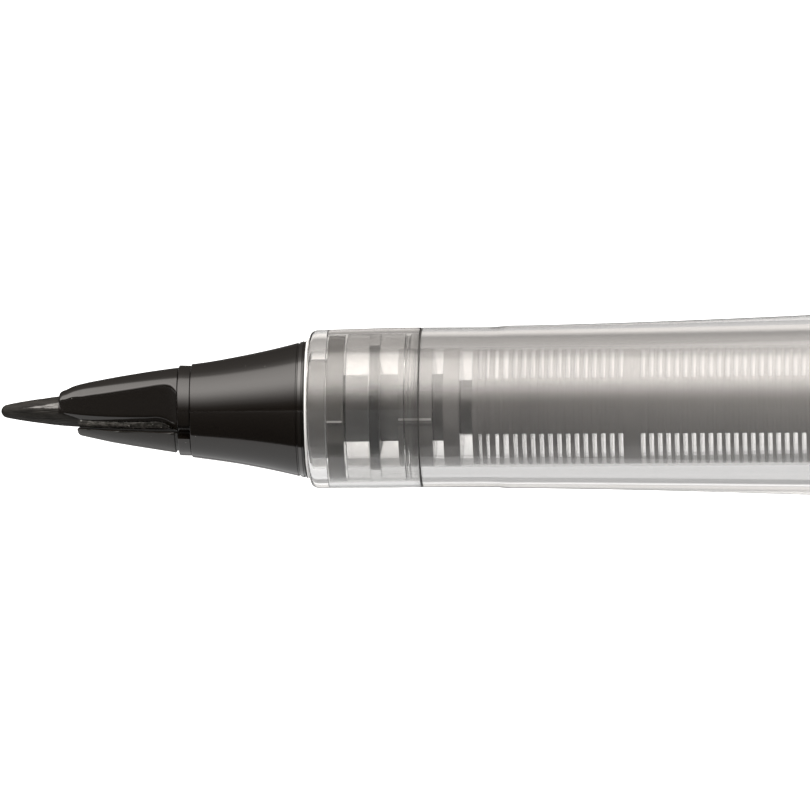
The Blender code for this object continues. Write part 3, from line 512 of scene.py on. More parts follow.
def grip_grid():
    """Clear grip: nose with a snap groove, straight stretch, soft step, flare, land and threaded neck.

    The step is t^2 (3 - 2 t) and the flare t^1.4. There are two bores, and the front one has a groove for
    the seal.
    """
    step = np.linspace(0, 1, 14)[1:-1]
    step_station = between(GRIP_STRAIGHT_END, GRIP_FLARE_START, step)
    step_radius = between(COLLAR_RADIUS, GRIP_STEP_RADIUS, step**2 * (3 - 2 * step))
    share = np.linspace(0, 1, 120)
    flare_station = between(GRIP_FLARE_START, GRIP_FLARE_END, share)
    flare_radius = between(GRIP_STEP_RADIUS, GRIP_RADIUS, share**1.4)
    corners = [
        *stepped(
            (GRIP_NOSE, SNAP_GROOVE - SNAP_EDGE, GRIP_NOSE_RADIUS, 0.1, 0.03),
            (SNAP_GROOVE - SNAP_FLOOR, SNAP_GROOVE + SNAP_FLOOR, GRIP_NOSE_RADIUS - SNAP_DEPTH, 0.03, 0.03),
            (SNAP_GROOVE + SNAP_EDGE, GRIP_FRONT, GRIP_NOSE_RADIUS, 0.03, 0.04),
            (GRIP_FRONT, GRIP_STRAIGHT_END, COLLAR_RADIUS, 0.05, 0)),
        *unrounded(step_station, step_radius), *unrounded(flare_station, flare_radius),
        (GRIP_REAR, GRIP_RADIUS, 0.15),
        *stepped(
            (GRIP_REAR, SCREW_END, SCREW_NECK_RADIUS, 0.08, 0.12),
            (SCREW_END, GRIP_BORE_END, CARTRIDGE_BORE, 0.06, 0.06),
            (GRIP_BORE_END, SEAL_REAR + SEAL_GAP, GRIP_BORE, 0.06, 0.02),
            (SEAL_REAR + SEAL_GAP, SEAL_FRONT - SEAL_GAP, SEAL_RADIUS + SEAL_GAP, 0.02, 0.02),
            (SEAL_FRONT - SEAL_GAP, GRIP_NOSE, GRIP_BORE, 0.02, 0.06)),
    ]
    return turned(corners, 0.3, 200, outer_thread)


# Seal ring, collector and cartridge

def seal_grid():
    """Soft ring with rounded rims."""
    return turned(plain_ring(SEAL_FRONT, SEAL_REAR, SEAL_BORE, SEAL_RADIUS, 0.05, 0.08), 0.2, 128)


def fin_gaps():
    """Middle station and width of each gap between the collector's fins, front group and rear group."""
    lead = np.array((30.17, 30.68, 31.30))
    front, rear = 31.83 + 0.5508 * np.arange(14), 40.38 + 0.5296 * np.arange(29)
    return np.concatenate((lead, front, rear)), np.repeat((0.23, 0.30), (3, 43))


def collector_relief(station, radius, angle):
    """Air groove across the block, as on the cone's flange, and a rib in front that nearly fills the gaps."""
    block = (station > BLOCK_FRONT - MARGIN) & (station < BLOCK_REAR + MARGIN)
    block &= radius > NECK_RADIUS + 5 * MARGIN
    rib = (station > FIN_LAND_FRONT + MARGIN) & (station < FIN_LAND_REAR - MARGIN) & (np.sin(angle) < 0)
    rib &= (FIN_RADIUS * np.cos(angle) < RIB_TOP) & (FIN_RADIUS * np.cos(angle) > RIB_BOTTOM)
    rib &= radius > FIN_CORE_RADIUS - SLACK / 2
    grooved = air_groove(radius, angle, block, LAND_RADIUS)
    return np.where(rib, np.maximum(radius, FIN_RADIUS - RIB_DEPTH), grooved)


def collector_grid():
    """Stepped block and disc, then a comb of fins on a core: one outline with four corners for each gap."""
    middle, width = fin_gaps()
    near, far = middle - width / 2, middle + width / 2
    rim, core, fillet = (np.full(len(middle), value) for value in (FIN_RADIUS, FIN_CORE_RADIUS, FIN_FILLET))
    comb = np.stack((near, rim, fillet, near, core, fillet, far, core, fillet, far, rim, fillet), -1)
    corners = [
        *stepped(
            (COLLECTOR_FRONT, BLOCK_FRONT, NECK_RADIUS, 0.05, 0.04),
            (BLOCK_FRONT, BLOCK_REAR, LAND_RADIUS, 0.05, 0.05),
            (BLOCK_REAR, DISC_FRONT, NECK_RADIUS, 0.04, 0.04),
            (DISC_FRONT, DISC_REAR, LAND_RADIUS, 0.05, 0.05),
            (DISC_REAR, FIN_LAND_FRONT, FIN_CORE_RADIUS, 0.04, 0.03)),
        (FIN_LAND_FRONT, FIN_RADIUS, FIN_FILLET), *comb.reshape(-1, 3).tolist(),
        (FIN_LAND_REAR, FIN_RADIUS, 0.02),
        *stepped(
            (FIN_LAND_REAR, COLLECTOR_LAND_REAR, LAND_RADIUS, 0.03, 0.06),
            (COLLECTOR_LAND_REAR, NIPPLE_END, NIPPLE_RADIUS, 0.05, 0.15),
            (NIPPLE_END, COLLECTOR_FRONT, FEED_BORE, 0.03, 0.02)),
    ]
    return turned(corners, 0.9, 96, collector_relief, steps=3)


def cartridge_grid():
    """Thin-walled ink tube with a holed front end."""
    corners = stepped(
        (CARTRIDGE_FRONT, CARTRIDGE_REAR, CARTRIDGE_RADIUS, 0.4, 0.1),
        (CARTRIDGE_REAR, CARTRIDGE_FLOOR, CARTRIDGE_INNER, 0.05, 0.3),
        (CARTRIDGE_FLOOR, CARTRIDGE_FRONT, NIPPLE_RADIUS + FIT_GAP, 0.05, 0.05))
    return turned(corners, 0.8, 96)


# Joint ring, barrel, tail plug, cap and clip

def joint_ring_grid():
    """Ring between grip and barrel, with round outer edges."""
    return turned(plain_ring(JOINT_FRONT, JOINT_REAR, JOINT_BORE, GRIP_RADIUS, 0.05, 0.16), 0.2, 160)


def barrel_grid():
    """Barrel that tapers from the joint to the tail, with an inner thread in its mouth."""
    corners = [
        (BARREL_FRONT, GRIP_RADIUS, 0.16), (CAP_FRONT, BARREL_POST_RADIUS, 8.0),
        (BARREL_REAR, BARREL_TAIL_RADIUS, 0.3),
        *stepped(
            (BARREL_REAR, BARREL_MOUTH_END, BARREL_BORE, 0.1, 0.1),
            (BARREL_MOUTH_END, BARREL_FRONT, BARREL_MOUTH_BORE, 0.05, 0.1)),
    ]
    return turned(corners, 0.4, 160, inner_thread)


def tail_plug_grid():
    """Plug with a domed head that closes the barrel's tail."""
    corners = stepped(
        (TAIL_PLUG_FRONT, TAIL_HEAD_FRONT, TAIL_PLUG_RADIUS, 0.3, 0.02),
        (TAIL_HEAD_FRONT, TAIL_HEAD_REAR, TAIL_HEAD_RADIUS, 0.08, 0.7),
        (TAIL_HEAD_REAR, TAIL_PLUG_FRONT, 0, 0, 0))
    return turned(corners, 0.4, 128, steps=9)


def clip_notch(station, radius, angle):
    """Notch in the rear rim of the cap for the clip's foot, down to a thin floor."""
    across = radius * np.sin(angle - (np.pi - CLIP_ANGLE))
    facing = np.cos(angle - (np.pi - CLIP_ANGLE)) > 0
    notch = facing & (np.abs(across) < NOTCH_WIDTH / 2) & (station > NOTCH_FRONT)
    return np.where(notch, np.minimum(radius, NOTCH_FLOOR), radius)


def cap_shell_grid():
    """Cap tube with a round mouth, a shallow line behind it and the clip's notch in its rear rim."""
    line_floor = CAP_LINE_FRONT + CAP_LINE_DEPTH, CAP_LINE_REAR - CAP_LINE_DEPTH, CAP_RADIUS - CAP_LINE_DEPTH
    corners = stepped(
        (CAP_FRONT, CAP_LINE_FRONT, CAP_RADIUS, 0.45, 0.1), (*line_floor, 0.05, 0.05),
        (CAP_LINE_REAR, CAP_REAR, CAP_RADIUS, 0.1, 0.1), (CAP_REAR, CAP_FRONT, CAP_BORE, 0.05, 0.12))
    return turned(corners, 0.4, 200, clip_notch)


def cap_liner_grid():
    """Inner cup of the cap, open to the front."""
    corners = stepped(
        (LINER_FRONT, LINER_REAR, LINER_RADIUS, 0.2, 0.2), (LINER_REAR, LINER_FLOOR, 0, 0, 0),
        (LINER_FLOOR, LINER_FRONT, LINER_INNER, 0.6, 0.15))
    return turned(corners, 0.5, 128)


def cap_crown_grid():
    """End of the cap: a plug in the tube and a head with a round edge and a flat face."""
    corners = stepped(
        (CROWN_PLUG_FRONT, CROWN_FRONT, LINER_RADIUS, 0.2, 0.02),
        (CROWN_FRONT, PEN_LENGTH, CAP_RADIUS, 0.1, 0.45), (PEN_LENGTH, CROWN_PLUG_FRONT, 0, 0, 0))
    return turned(corners, 0.3, 160, steps=9)


def clip_grid():
    """Spring clip: a rounded flat section carried along a bent path in the plane of the pen's axis.

    The path rises from the foot, turns forward in a round bend, runs along the cap, dips to a bead and ends
    in a raised toe. The section is a superellipse |u|^n + |v|^n = 1 across the width and the thickness.
    """
    bend = np.linspace(0, np.pi / 2, 24)
    turn_station, turn_radius = CLIP_FOOT - CLIP_BEND, CLIP_ARM_RADIUS - CLIP_BEND
    rise = np.stack((np.full(8, CLIP_FOOT), np.linspace(CLIP_ROOT_RADIUS, turn_radius, 8)), -1)
    turn = np.stack((turn_station + CLIP_BEND * np.cos(bend), turn_radius + CLIP_BEND * np.sin(bend)), -1)
    along = np.linspace(turn_station, CLIP_TOE + 0.1, 260)[1:]
    bead = CLIP_BEAD_DEPTH * np.exp(-(((along - CLIP_BEAD) / CLIP_BEAD_LENGTH) ** 2))
    path = np.concatenate((rise, turn[1:], np.stack((along, CLIP_ARM_RADIUS - bead), -1)))
    ahead = np.gradient(path, axis=0)
    ahead /= np.linalg.norm(ahead, axis=1, keepdims=True)
    across = np.stack((-ahead[:, 1], ahead[:, 0]), -1)
    length = np.concatenate(([0], np.cumsum(np.linalg.norm(np.diff(path, axis=0), axis=1))))
    toe = np.sqrt(1 - np.clip(1 - (length[-1] - length) / CLIP_TOE_ROUND, 0, 1) ** 2)
    widening = CLIP_ROOT_WIDTH + (1 - CLIP_ROOT_WIDTH) * np.clip(length / CLIP_WIDENING, 0, 1)
    half_width = CLIP_WIDTH / 2 * widening * (toe * (1 - CLIP_TOE_BLUNT) + CLIP_TOE_BLUNT)
    angle = np.linspace(0, TURN, 72, endpoint=False)
    u, v = (np.sign(part) * np.abs(part) ** (2 / CLIP_SQUARENESS) for part in (np.cos(angle), np.sin(angle)))
    depth = CLIP_THICKNESS / 2 * v[None, :]
    station = path[:, :1] + across[:, :1] * depth
    radius = path[:, 1:] + across[:, 1:] * depth
    wide = half_width[:, None] * u[None, :]
    out_y, out_z = np.sin(CLIP_ANGLE), -np.cos(CLIP_ANGLE)
    return lofted(np.stack((station, radius * out_y - wide * out_z, radius * out_z + wide * out_y), -1))


# Finishes

def add_node(tree, kind, values=None, **settings):
    """Node with its settings, and the values of its inputs: a socket is linked, anything else is set."""
    made = tree.nodes.new(kind)
    for key, value in settings.items():
        setattr(made, key, value)
    for key, value in (values or {}).items():
        if isinstance(value, bpy.types.NodeSocket):
            tree.links.new(value, made.inputs[key])
        else:
            made.inputs[key].default_value = value
    return made


def worked_out(tree, operation, *values):
    """Result of one sum with sockets and numbers."""
    return add_node(tree, "ShaderNodeMath", dict(enumerate(values)), operation=operation).outputs[0]


def ramped(tree, value, low, high, first=0.0, last=1.0, **settings):
    """Level that goes from first to last while a value goes from low to high."""
    values = {"Value": value, "From Min": low, "From Max": high, "To Min": first, "To Max": last}
    return add_node(tree, "ShaderNodeMapRange", values, **settings).outputs[0]


def noise(tree, place, scale, detail, roughness=0.5):
    """Level of a noise pattern."""
    values = {"Vector": place, "Scale": scale, "Detail": detail, "Roughness": roughness}
    return add_node(tree, "ShaderNodeTexNoise", values).outputs["Fac"]


def axes_of(tree, place):
    """The X, Y and Z of a place or of a direction."""
    return add_node(tree, "ShaderNodeSeparateXYZ", {0: place}).outputs


def new_group(name, inputs, outputs):
    """Empty shader group whose sockets are floats, apart from its Vector. Returns it and its sockets."""
    group = bpy.data.node_groups.new(name, "ShaderNodeTree")
    for label in inputs:
        kind = "NodeSocketVector" if label == "Vector" else "NodeSocketFloat"
        group.interface.new_socket(label, in_out="INPUT", socket_type=kind)
    for label in outputs:
        group.interface.new_socket(label, in_out="OUTPUT", socket_type="NodeSocketFloat")
    return group, group.nodes.new("NodeGroupInput").outputs, group.nodes.new("NodeGroupOutput").inputs


def moulded_skin_group():
    """Moulded plastic: slow clouds that move the roughness about its middle, and a fine uneven height."""
    inputs = "Vector", "Grain", "Roughness", "Spread"
    group, given, out = new_group("moulded_skin", inputs, ("Roughness", "Height"))
    centred = worked_out(group, "SUBTRACT", noise(group, given["Vector"], 0.7, 4.0), 0.5)
    moved = worked_out(group, "MULTIPLY_ADD", centred, given["Spread"], given["Roughness"])
    group.links.new(moved, out["Roughness"])
    group.links.new(noise(group, given["Vector"], given["Grain"], 3.0), out["Height"])
    return group


def specks_group():
    """Sparse specks: small round spots in the cells of a Voronoi pattern, in a share of the cells."""
    group, given, out = new_group("specks", ("Vector", "Density", "Share", "Size"), ("Mask",))
    values = {"Vector": given["Vector"], "Scale": given["Density"]}
    cells = add_node(group, "ShaderNodeTexVoronoi", values).outputs
    chance = add_node(group, "ShaderNodeSeparateColor", {"Color": cells["Color"]}).outputs["Red"]
    spot = worked_out(group, "LESS_THAN", cells["Distance"], given["Size"])
    chosen = worked_out(group, "LESS_THAN", chance, given["Share"])
    group.links.new(worked_out(group, "MULTIPLY", spot, chosen), out["Mask"])
    return group


def strands_group():
    """Strands along the pen: noise that is stretched in the length, as lines of fibre or of brushing."""
    group, given, out = new_group("strands", ("Vector", "Fineness"), ("Mask",))
    values = {0: given["Vector"], 1: (0.06, 1, 1)}
    stretched = add_node(group, "ShaderNodeVectorMath", values, operation="MULTIPLY")
    lines = noise(group, stretched.outputs[0], given["Fineness"], 5.0, 0.65)
    group.links.new(ramped(group, lines, 0.32, 0.68), out["Mask"])
    return group


def painted_highlight_line_group():
    """Painted highlight: 1 on the side that faces -Y, within a small distance of a height and between two
    lengths.
    """
    group, given, out = new_group("painted_highlight_line", ("Vector", "Front", "Rear", "Height"), ("Mask",))
    axes = axes_of(group, given["Vector"])
    mask = worked_out(group, "COMPARE", axes["Z"], given["Height"], EDGE_HALF_WIDTH)
    for part in (worked_out(group, "GREATER_THAN", axes["X"], given["Front"]),
                 worked_out(group, "LESS_THAN", axes["X"], given["Rear"]),
                 worked_out(group, "LESS_THAN", axes["Y"], 0.0)):
        mask = worked_out(group, "MULTIPLY", mask, part)
    group.links.new(mask, out["Mask"])
    return group


EDGE_HALF_WIDTH = 0.06
SKIN, SPECKS, STRANDS, EDGE = moulded_skin_group(), specks_group(), strands_group(), painted_highlight_line_group()


def shader_of(material):
    """Inputs of the material's shader."""
    return material.node_tree.nodes["Principled BSDF"].inputs


def new_material(name):
    """Material with its shader's inputs and the piece's own coordinates in millimetres."""
    material = bpy.data.materials.new(name)
    material.use_nodes = True
    tree = material.node_tree
    place = add_node(tree, "ShaderNodeTexCoord").outputs["Object"]
    scaled = add_node(tree, "ShaderNodeMapping", {"Vector": place, "Scale": (1000, 1000, 1000)})
    return material, tree, shader_of(material), scaled.outputs[0]


def use_group(tree, group, **values):
    """What a shared group puts out in a material, with its own values."""
    return add_node(tree, "ShaderNodeGroup", values, node_tree=group).outputs


def mixed(tree, mask, low, high):
    """Colour between two, by a mask. Each of them is a colour or a socket."""
    low, high = (tone if isinstance(tone, bpy.types.NodeSocket) else (*tone, 1) for tone in (low, high))
    mix = add_node(tree, "ShaderNodeMix", {"Factor": mask, "A": low, "B": high}, data_type="RGBA")
    return mix.outputs["Result"]


def along(tree, place, front, rear):
    """Mask that goes from 0 to 1 between two stations of the pen."""
    return ramped(tree, axes_of(tree, place)["X"], front - PEN_LENGTH, rear - PEN_LENGTH)


def in_turn(tree, place, colour, rear):
    """The colour, and after it each (front, rear, colour) that takes over between two stations."""
    for front, back, further in rear:
        colour = mixed(tree, along(tree, place, front, back), colour, further)
    return colour


def painted(tree, shader, place, colour, grain, roughness, spread):
    """Colour of the shader, and its roughness from the moulded skin. Returns the skin's uneven height."""
    skin = use_group(tree, SKIN, Vector=place, Grain=grain, Roughness=roughness, Spread=spread)
    tree.links.new(colour, shader["Base Color"])
    tree.links.new(skin["Roughness"], shader["Roughness"])
    return skin["Height"]


def bumped(tree, shader, height, strength, depth):
    """Normal of the shader from a height, with the depth in millimetres."""
    bump = add_node(tree, "ShaderNodeBump", {"Height": height, "Strength": strength, "Distance": depth * MM})
    tree.links.new(bump.outputs["Normal"], shader["Normal"])


def moulded(name, dark, light, roughness, spread, grain, depth, dust=0.0, specular=0.5, rear=(), edge=None,
            polish=None):
    """Moulded plastic: clouded colour and roughness, fine skin and, where asked, a little dust.

    `rear` lists (front, rear, colour), for colours that take over between two stations. `edge` is (front,
    rear, height, level), for a pale line between two stations, a painted highlight. `polish` is (front, rear,
    coat), for a glossier band.
    """
    material, tree, shader, place = new_material(name)
    colour = in_turn(tree, place, mixed(tree, noise(tree, place, 0.35, 3.0), dark, light), rear)
    if dust:
        specks = use_group(tree, SPECKS, Vector=place, Density=3.2, Share=dust, Size=0.07)
        colour = mixed(tree, specks["Mask"], colour, DUST)
    # The pale line at a height is a painted highlight.
    if edge:
        front, back, height, level = edge
        line = use_group(tree, EDGE, Vector=place, Height=height,
                         Front=front - PEN_LENGTH, Rear=back - PEN_LENGTH)
        colour = mixed(tree, line["Mask"], colour, (level, 0.98 * level, 0.96 * level))
    if polish:
        start, stop = (along(tree, place, station - 0.03, station + 0.03) for station in polish[:2])
        band = worked_out(tree, "SUBTRACT", start, stop)
        tree.links.new(worked_out(tree, "MULTIPLY", band, polish[2]), shader["Coat Weight"])
    shader["Specular IOR Level"].default_value = specular
    bumped(tree, shader, painted(tree, shader, place, colour, grain, roughness, spread), 0.25, depth)
    return material


def wet_fibre(name, dark, light, roughness, fineness, depth):
    """Dense fibre, wet with ink: strands in colour, roughness and height, and a wet streak on the bare cone.

    The streak is a ragged wedge that opens from near the point to the hood, with a smooth coat; its pale
    colour is a painted highlight. Under the hood the fibre is paler and mottled, painted light where the hood
    shades it, with a few pale specks that are painted glints.
    """
    material, tree, shader, place = new_material(name)
    strands = use_group(tree, STRANDS, Vector=place, Fineness=fineness)["Mask"]
    specks = use_group(tree, SPECKS, Vector=place, Density=4.0, Share=0.28, Size=0.24)
    mottle = noise(tree, place, 3.0, 4.0, 0.6)
    axes = axes_of(tree, place)
    start = STREAK_OPENING * (PEN_LENGTH - STREAK_START) + STREAK_FOOT
    upper = worked_out(tree, "MULTIPLY_ADD", axes["X"], STREAK_OPENING, start)
    inside = worked_out(tree, "MINIMUM", worked_out(tree, "SUBTRACT", upper, axes["Z"]),
                        worked_out(tree, "SUBTRACT", axes["Z"], STREAK_FOOT))
    wet_and_highlight = ramped(tree, worked_out(tree, "MULTIPLY_ADD", mottle, STREAK_RAGGEDNESS, inside), 0.06, 0.13)
    covered = along(tree, place, 4.8, 5.4)
    # The paler mottle under the hood is painted light where the hood shades the fibre.
    painted_light_mottle = mixed(tree, ramped(tree, mottle, 0.42, 0.62), (0.085, 0.081, 0.072), (0.260, 0.248, 0.225))
    colour = mixed(tree, covered, mixed(tree, strands, dark, light), painted_light_mottle)
    # The streak's pale colour is a painted highlight; its coat gives a real reflection.
    colour = mixed(tree, wet_and_highlight, colour, (0.085, 0.083, 0.079))
    # The pale specks under the hood are painted glints.
    colour = mixed(tree, worked_out(tree, "MULTIPLY", specks["Mask"], covered), colour, (0.62, 0.60, 0.56))
    painted(tree, shader, place, colour, 9.0, roughness, 0.25)
    tree.links.new(wet_and_highlight, shader["Coat Weight"])
    shader["Coat Roughness"].default_value = 0.2
    shader["Specular IOR Level"].default_value = 0.12
    bumped(tree, shader, strands, 0.6, depth)
    return material


def clear_plastic(name, tint, roughness, transmission, flecks, specular_tint=1.0, rear=()):
    """Clear moulded plastic: faint haze in the roughness, and a few tiny flecks.

    `rear` lists (front, rear, tint), for tints that take over between two stations.
    """
    material, tree, shader, place = new_material(name)
    specks = use_group(tree, SPECKS, Vector=place, Density=0.9, Share=flecks, Size=0.05)
    colour = mixed(tree, specks["Mask"], in_turn(tree, place, tint, rear), (0.35, 0.34, 0.32))
    painted(tree, shader, place, colour, 1.6, roughness, 0.04)
    shader["IOR"].default_value = 1.54
    shader["Transmission Weight"].default_value = transmission
    shader["Specular Tint"].default_value = (specular_tint, specular_tint, specular_tint, 1)
    return material


def brushed_metal(name, dark, light, roughness, fineness):
    """Spring steel: brushing along the length in colour, roughness and height."""
    material, tree, shader, place = new_material(name)
    strands = use_group(tree, STRANDS, Vector=place, Fineness=fineness)["Mask"]
    painted(tree, shader, place, mixed(tree, strands, dark, light), 6.0, roughness, 0.16)
    shader["Metallic"].default_value = 1.0
    bumped(tree, shader, strands, 0.3, 0.004)
    return material


DUST = (0.16, 0.155, 0.145)
STREAK_START, STREAK_FOOT, STREAK_OPENING, STREAK_RAGGEDNESS = 1.5, 0.14, 0.16, 0.16
BLACK_TONES = (0.0034, 0.0026, 0.0019), (0.0050, 0.0039, 0.0030)
LIP_TINT, SEAM_TINT = (0.91, 0.907, 0.901), (0.80, 0.797, 0.792)

black_gloss = moulded("black_gloss", *BLACK_TONES, 0.11, 0.06, 7.0, 0.003, 0.05)
# The edge line on the cone's flange is a painted highlight.
cone_gloss = moulded("cone_gloss", *BLACK_TONES, 0.11, 0.06, 7.0, 0.003, 0.05,
                     rear=[(19.24, 19.32, (0.230, 0.225, 0.220)), (20.50, 20.62, (0.090, 0.087, 0.083)),
                           (21.72, 21.80, (0.150, 0.146, 0.142))],
                     edge=(20.6, 21.6, -0.61, 0.40), polish=(BEAD_FRONT + 0.08, BEAD_REAR - 0.04, 0.7))
barrel_gloss = moulded("barrel_gloss", (0.0036, 0.0031, 0.0026), (0.0054, 0.0047, 0.0041),
                       0.11, 0.08, 4.0, 0.003, 0.015)
jaw_satin = moulded("jaw_satin", (0.0060, 0.0050, 0.0039), (0.0088, 0.0074, 0.0058),
                    0.34, 0.12, 9.0, 0.010, 0.03, 0.35)
# The edge line on the collector's block is a painted highlight.
collector_grey = moulded("collector_grey", (0.236, 0.231, 0.226), (0.268, 0.262, 0.257),
                         0.09, 0.06, 5.0, 0.002,
                         rear=[(33.0, 50.0, (0.390, 0.383, 0.377))], edge=(25.1, 27.15, -0.49, 0.85))
seal_rubber = moulded("seal_rubber", (0.003, 0.003, 0.003), (0.009, 0.009, 0.008),
                      0.45, 0.15, 12.0, 0.01, 0.10, 0.02)
joint_satin = moulded("joint_satin", (0.016, 0.016, 0.0155), (0.024, 0.0235, 0.023), 0.38, 0.12, 9.0, 0.008)
liner_satin = moulded("liner_satin", (0.55, 0.55, 0.54), (0.63, 0.63, 0.62), 0.42, 0.15, 6.0, 0.008)
plug_satin = moulded("plug_satin", (0.62, 0.62, 0.61), (0.72, 0.72, 0.71), 0.42, 0.15, 6.0, 0.008)
# Pale matt colour of the rim: a painted highlight at the collar's front edge.
rim_painted_highlight = moulded("rim_painted_highlight", (0.62, 0.62, 0.61), (0.74, 0.74, 0.73), 0.45, 0.1, 9.0, 0.005)
film_black = moulded("film_black", (0.003, 0.003, 0.003), (0.050, 0.048, 0.045), 0.6, 0.1, 9.0, 0.005)
nib_fibre = wet_fibre("nib_fibre", (0.005, 0.0046, 0.004), (0.022, 0.0205, 0.018), 0.5, 5.0, 0.020)
rod_fibre = wet_fibre("rod_fibre", (0.010, 0.010, 0.012), (0.050, 0.050, 0.055), 0.45, 9.0, 0.010)
clear_shell = clear_plastic("clear_shell", (0.750, 0.746, 0.741), 0.03, 0.992, 0.05)
clear_ring = clear_plastic("clear_ring", LIP_TINT, 0.03, 1.0, 0.08, 0.5,
                           rear=[(20.55, 20.65, (0.960, 0.957, 0.950)), (25.85, 26.2, SEAM_TINT)])
cartridge_wall = clear_plastic("cartridge_wall", (0.86, 0.86, 0.85), 0.11, 0.75, 0.02)
clip_steel = brushed_metal("clip_steel", (0.17, 0.17, 0.175), (0.40, 0.40, 0.41), 0.42, 14.0)
ball_steel = brushed_metal("ball_steel", (0.60, 0.60, 0.61), (0.72, 0.72, 0.73), 0.14, 5.0)

# Pieces

add_piece("fibre_nib", nib_grid(), nib_fibre, "grip", "nib_fibre", "nib", crease=80)
add_piece("beak_hood", drooped(hood_grid()), black_gloss, "grip", "black_gloss", "nib_hood", crease=50)
add_piece("beak_jaw", drooped(jaw_grid()), jaw_satin, "grip", "feed_satin", "nib_feed", crease=60)
add_piece("beak_ring", drooped(ring_grid()), black_gloss, "grip", "black_gloss", "holder_ring")
add_piece("black_cone", drooped(cone_grid()), cone_gloss, "grip", "black_gloss", "front_cone")
add_piece("clear_collar", drooped(collar_grid()), clear_ring, "grip", "clear", "front_collar")
add_piece("collar_rim", rim_grid(), rim_painted_highlight, "grip", "clear", "front_collar")
add_piece("parting_film", film_grid(), film_black, "grip", "clear", "grip_barrel")
add_piece("clear_grip", grip_grid(), clear_shell, "grip", "clear", "grip_barrel")
add_piece("soft_seal", seal_grid(), seal_rubber, "grip", "seal_rubber", "seal_ring")
add_piece("finned_collector", collector_grid(), collector_grey, "grip", "collector_black", "collector")
add_piece("ink_tube", cartridge_grid(), cartridge_wall, "grip", "cartridge_wall", "ink_cartridge")
add_piece("waist_ring", joint_ring_grid(), joint_satin, "joint_ring", "joint_black", "joint_ring")
add_piece("black_barrel", barrel_grid(), barrel_gloss, "barrel", "black_gloss", "rear_barrel")
add_piece("tail_button", tail_plug_grid(), barrel_gloss, "barrel", "black_gloss", "tail_plug")
add_piece("cap_tube", cap_shell_grid(), barrel_gloss, "cap", "black_gloss", "cap_shell")
add_piece("cap_inner_cup", cap_liner_grid(), liner_satin, "cap", "liner_plastic", "cap_liner")
add_piece("cap_end", cap_crown_grid(), barrel_gloss, "cap", "black_gloss", "cap_crown")
add_piece("spring_clip", clip_grid(), clip_steel, "clip", "clip_steel", "clip", crease=60)

for node, material in (("feed_rod", rod_fibre), ("cartridge_ball", ball_steel),
                       ("cartridge_plug", plug_satin)):
    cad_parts[node].data.materials.clear()
    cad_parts[node].data.materials.append(material)


# Floor, light and camera

def flat_sheet(name, low, high, height, material):
    """Level rectangle between two (x, y) corners, in metres."""
    x, y = np.meshgrid((low[0], high[0]), (low[1], high[1]))
    points = np.stack((x, y, np.full_like(x, height)), -1).reshape(-1, 3)
    made = new_object(name, points, [(0, 1, 3, 2)], material)
    made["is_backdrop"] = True
    return made


def glowing_card(name, dark, light, glow):
    """Matt card that gives off some white light of its own."""
    material = moulded(name, (dark,) * 3, (light,) * 3, 0.9, 0.05, 0.4, 0.01)
    shader_of(material)["Emission Strength"].default_value = glow
    return material


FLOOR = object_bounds()[0].z
SHEET_LIFT = 0.0001
SHEET_LEFT, SHEET_RIGHT, SHEET_FAR = -0.45, 0.30, 8.0
FRONT_EDGE, BACK_EDGE, BACKDROP_EDGE, BACKDROP_END = -0.0052, 0.004, 0.010, 0.030
NOSE_EDGE, COLLAR_EDGE, GRIP_EDGE = -0.175, -0.138, -0.1306

floor_paper = moulded("floor_paper", (0.19, 0.19, 0.19), (0.21, 0.21, 0.21), 0.85, 0.1, 0.4, 0.01)
paper_tree, paper = floor_paper.node_tree, shader_of(floor_paper)
seen = add_node(paper_tree, "ShaderNodeLightPath").outputs["Is Camera Ray"]
paper_tree.links.new(mixed(paper_tree, seen, (0.79, 0.79, 0.79), (1.3, 1.3, 1.3)), paper["Emission Color"])
paper["Emission Strength"].default_value = 1.0
flat_sheet("floor", (-SHEET_FAR, -SHEET_FAR), (SHEET_FAR, SHEET_FAR), FLOOR, floor_paper)

# The black sheets and the nose's are seen in reflections only, the others only through the clear pieces.
flag_black = glowing_card("flag_black", 0.004, 0.006, 0.0)
flag_grey = glowing_card("flag_grey", 0.018, 0.022, 0.45)
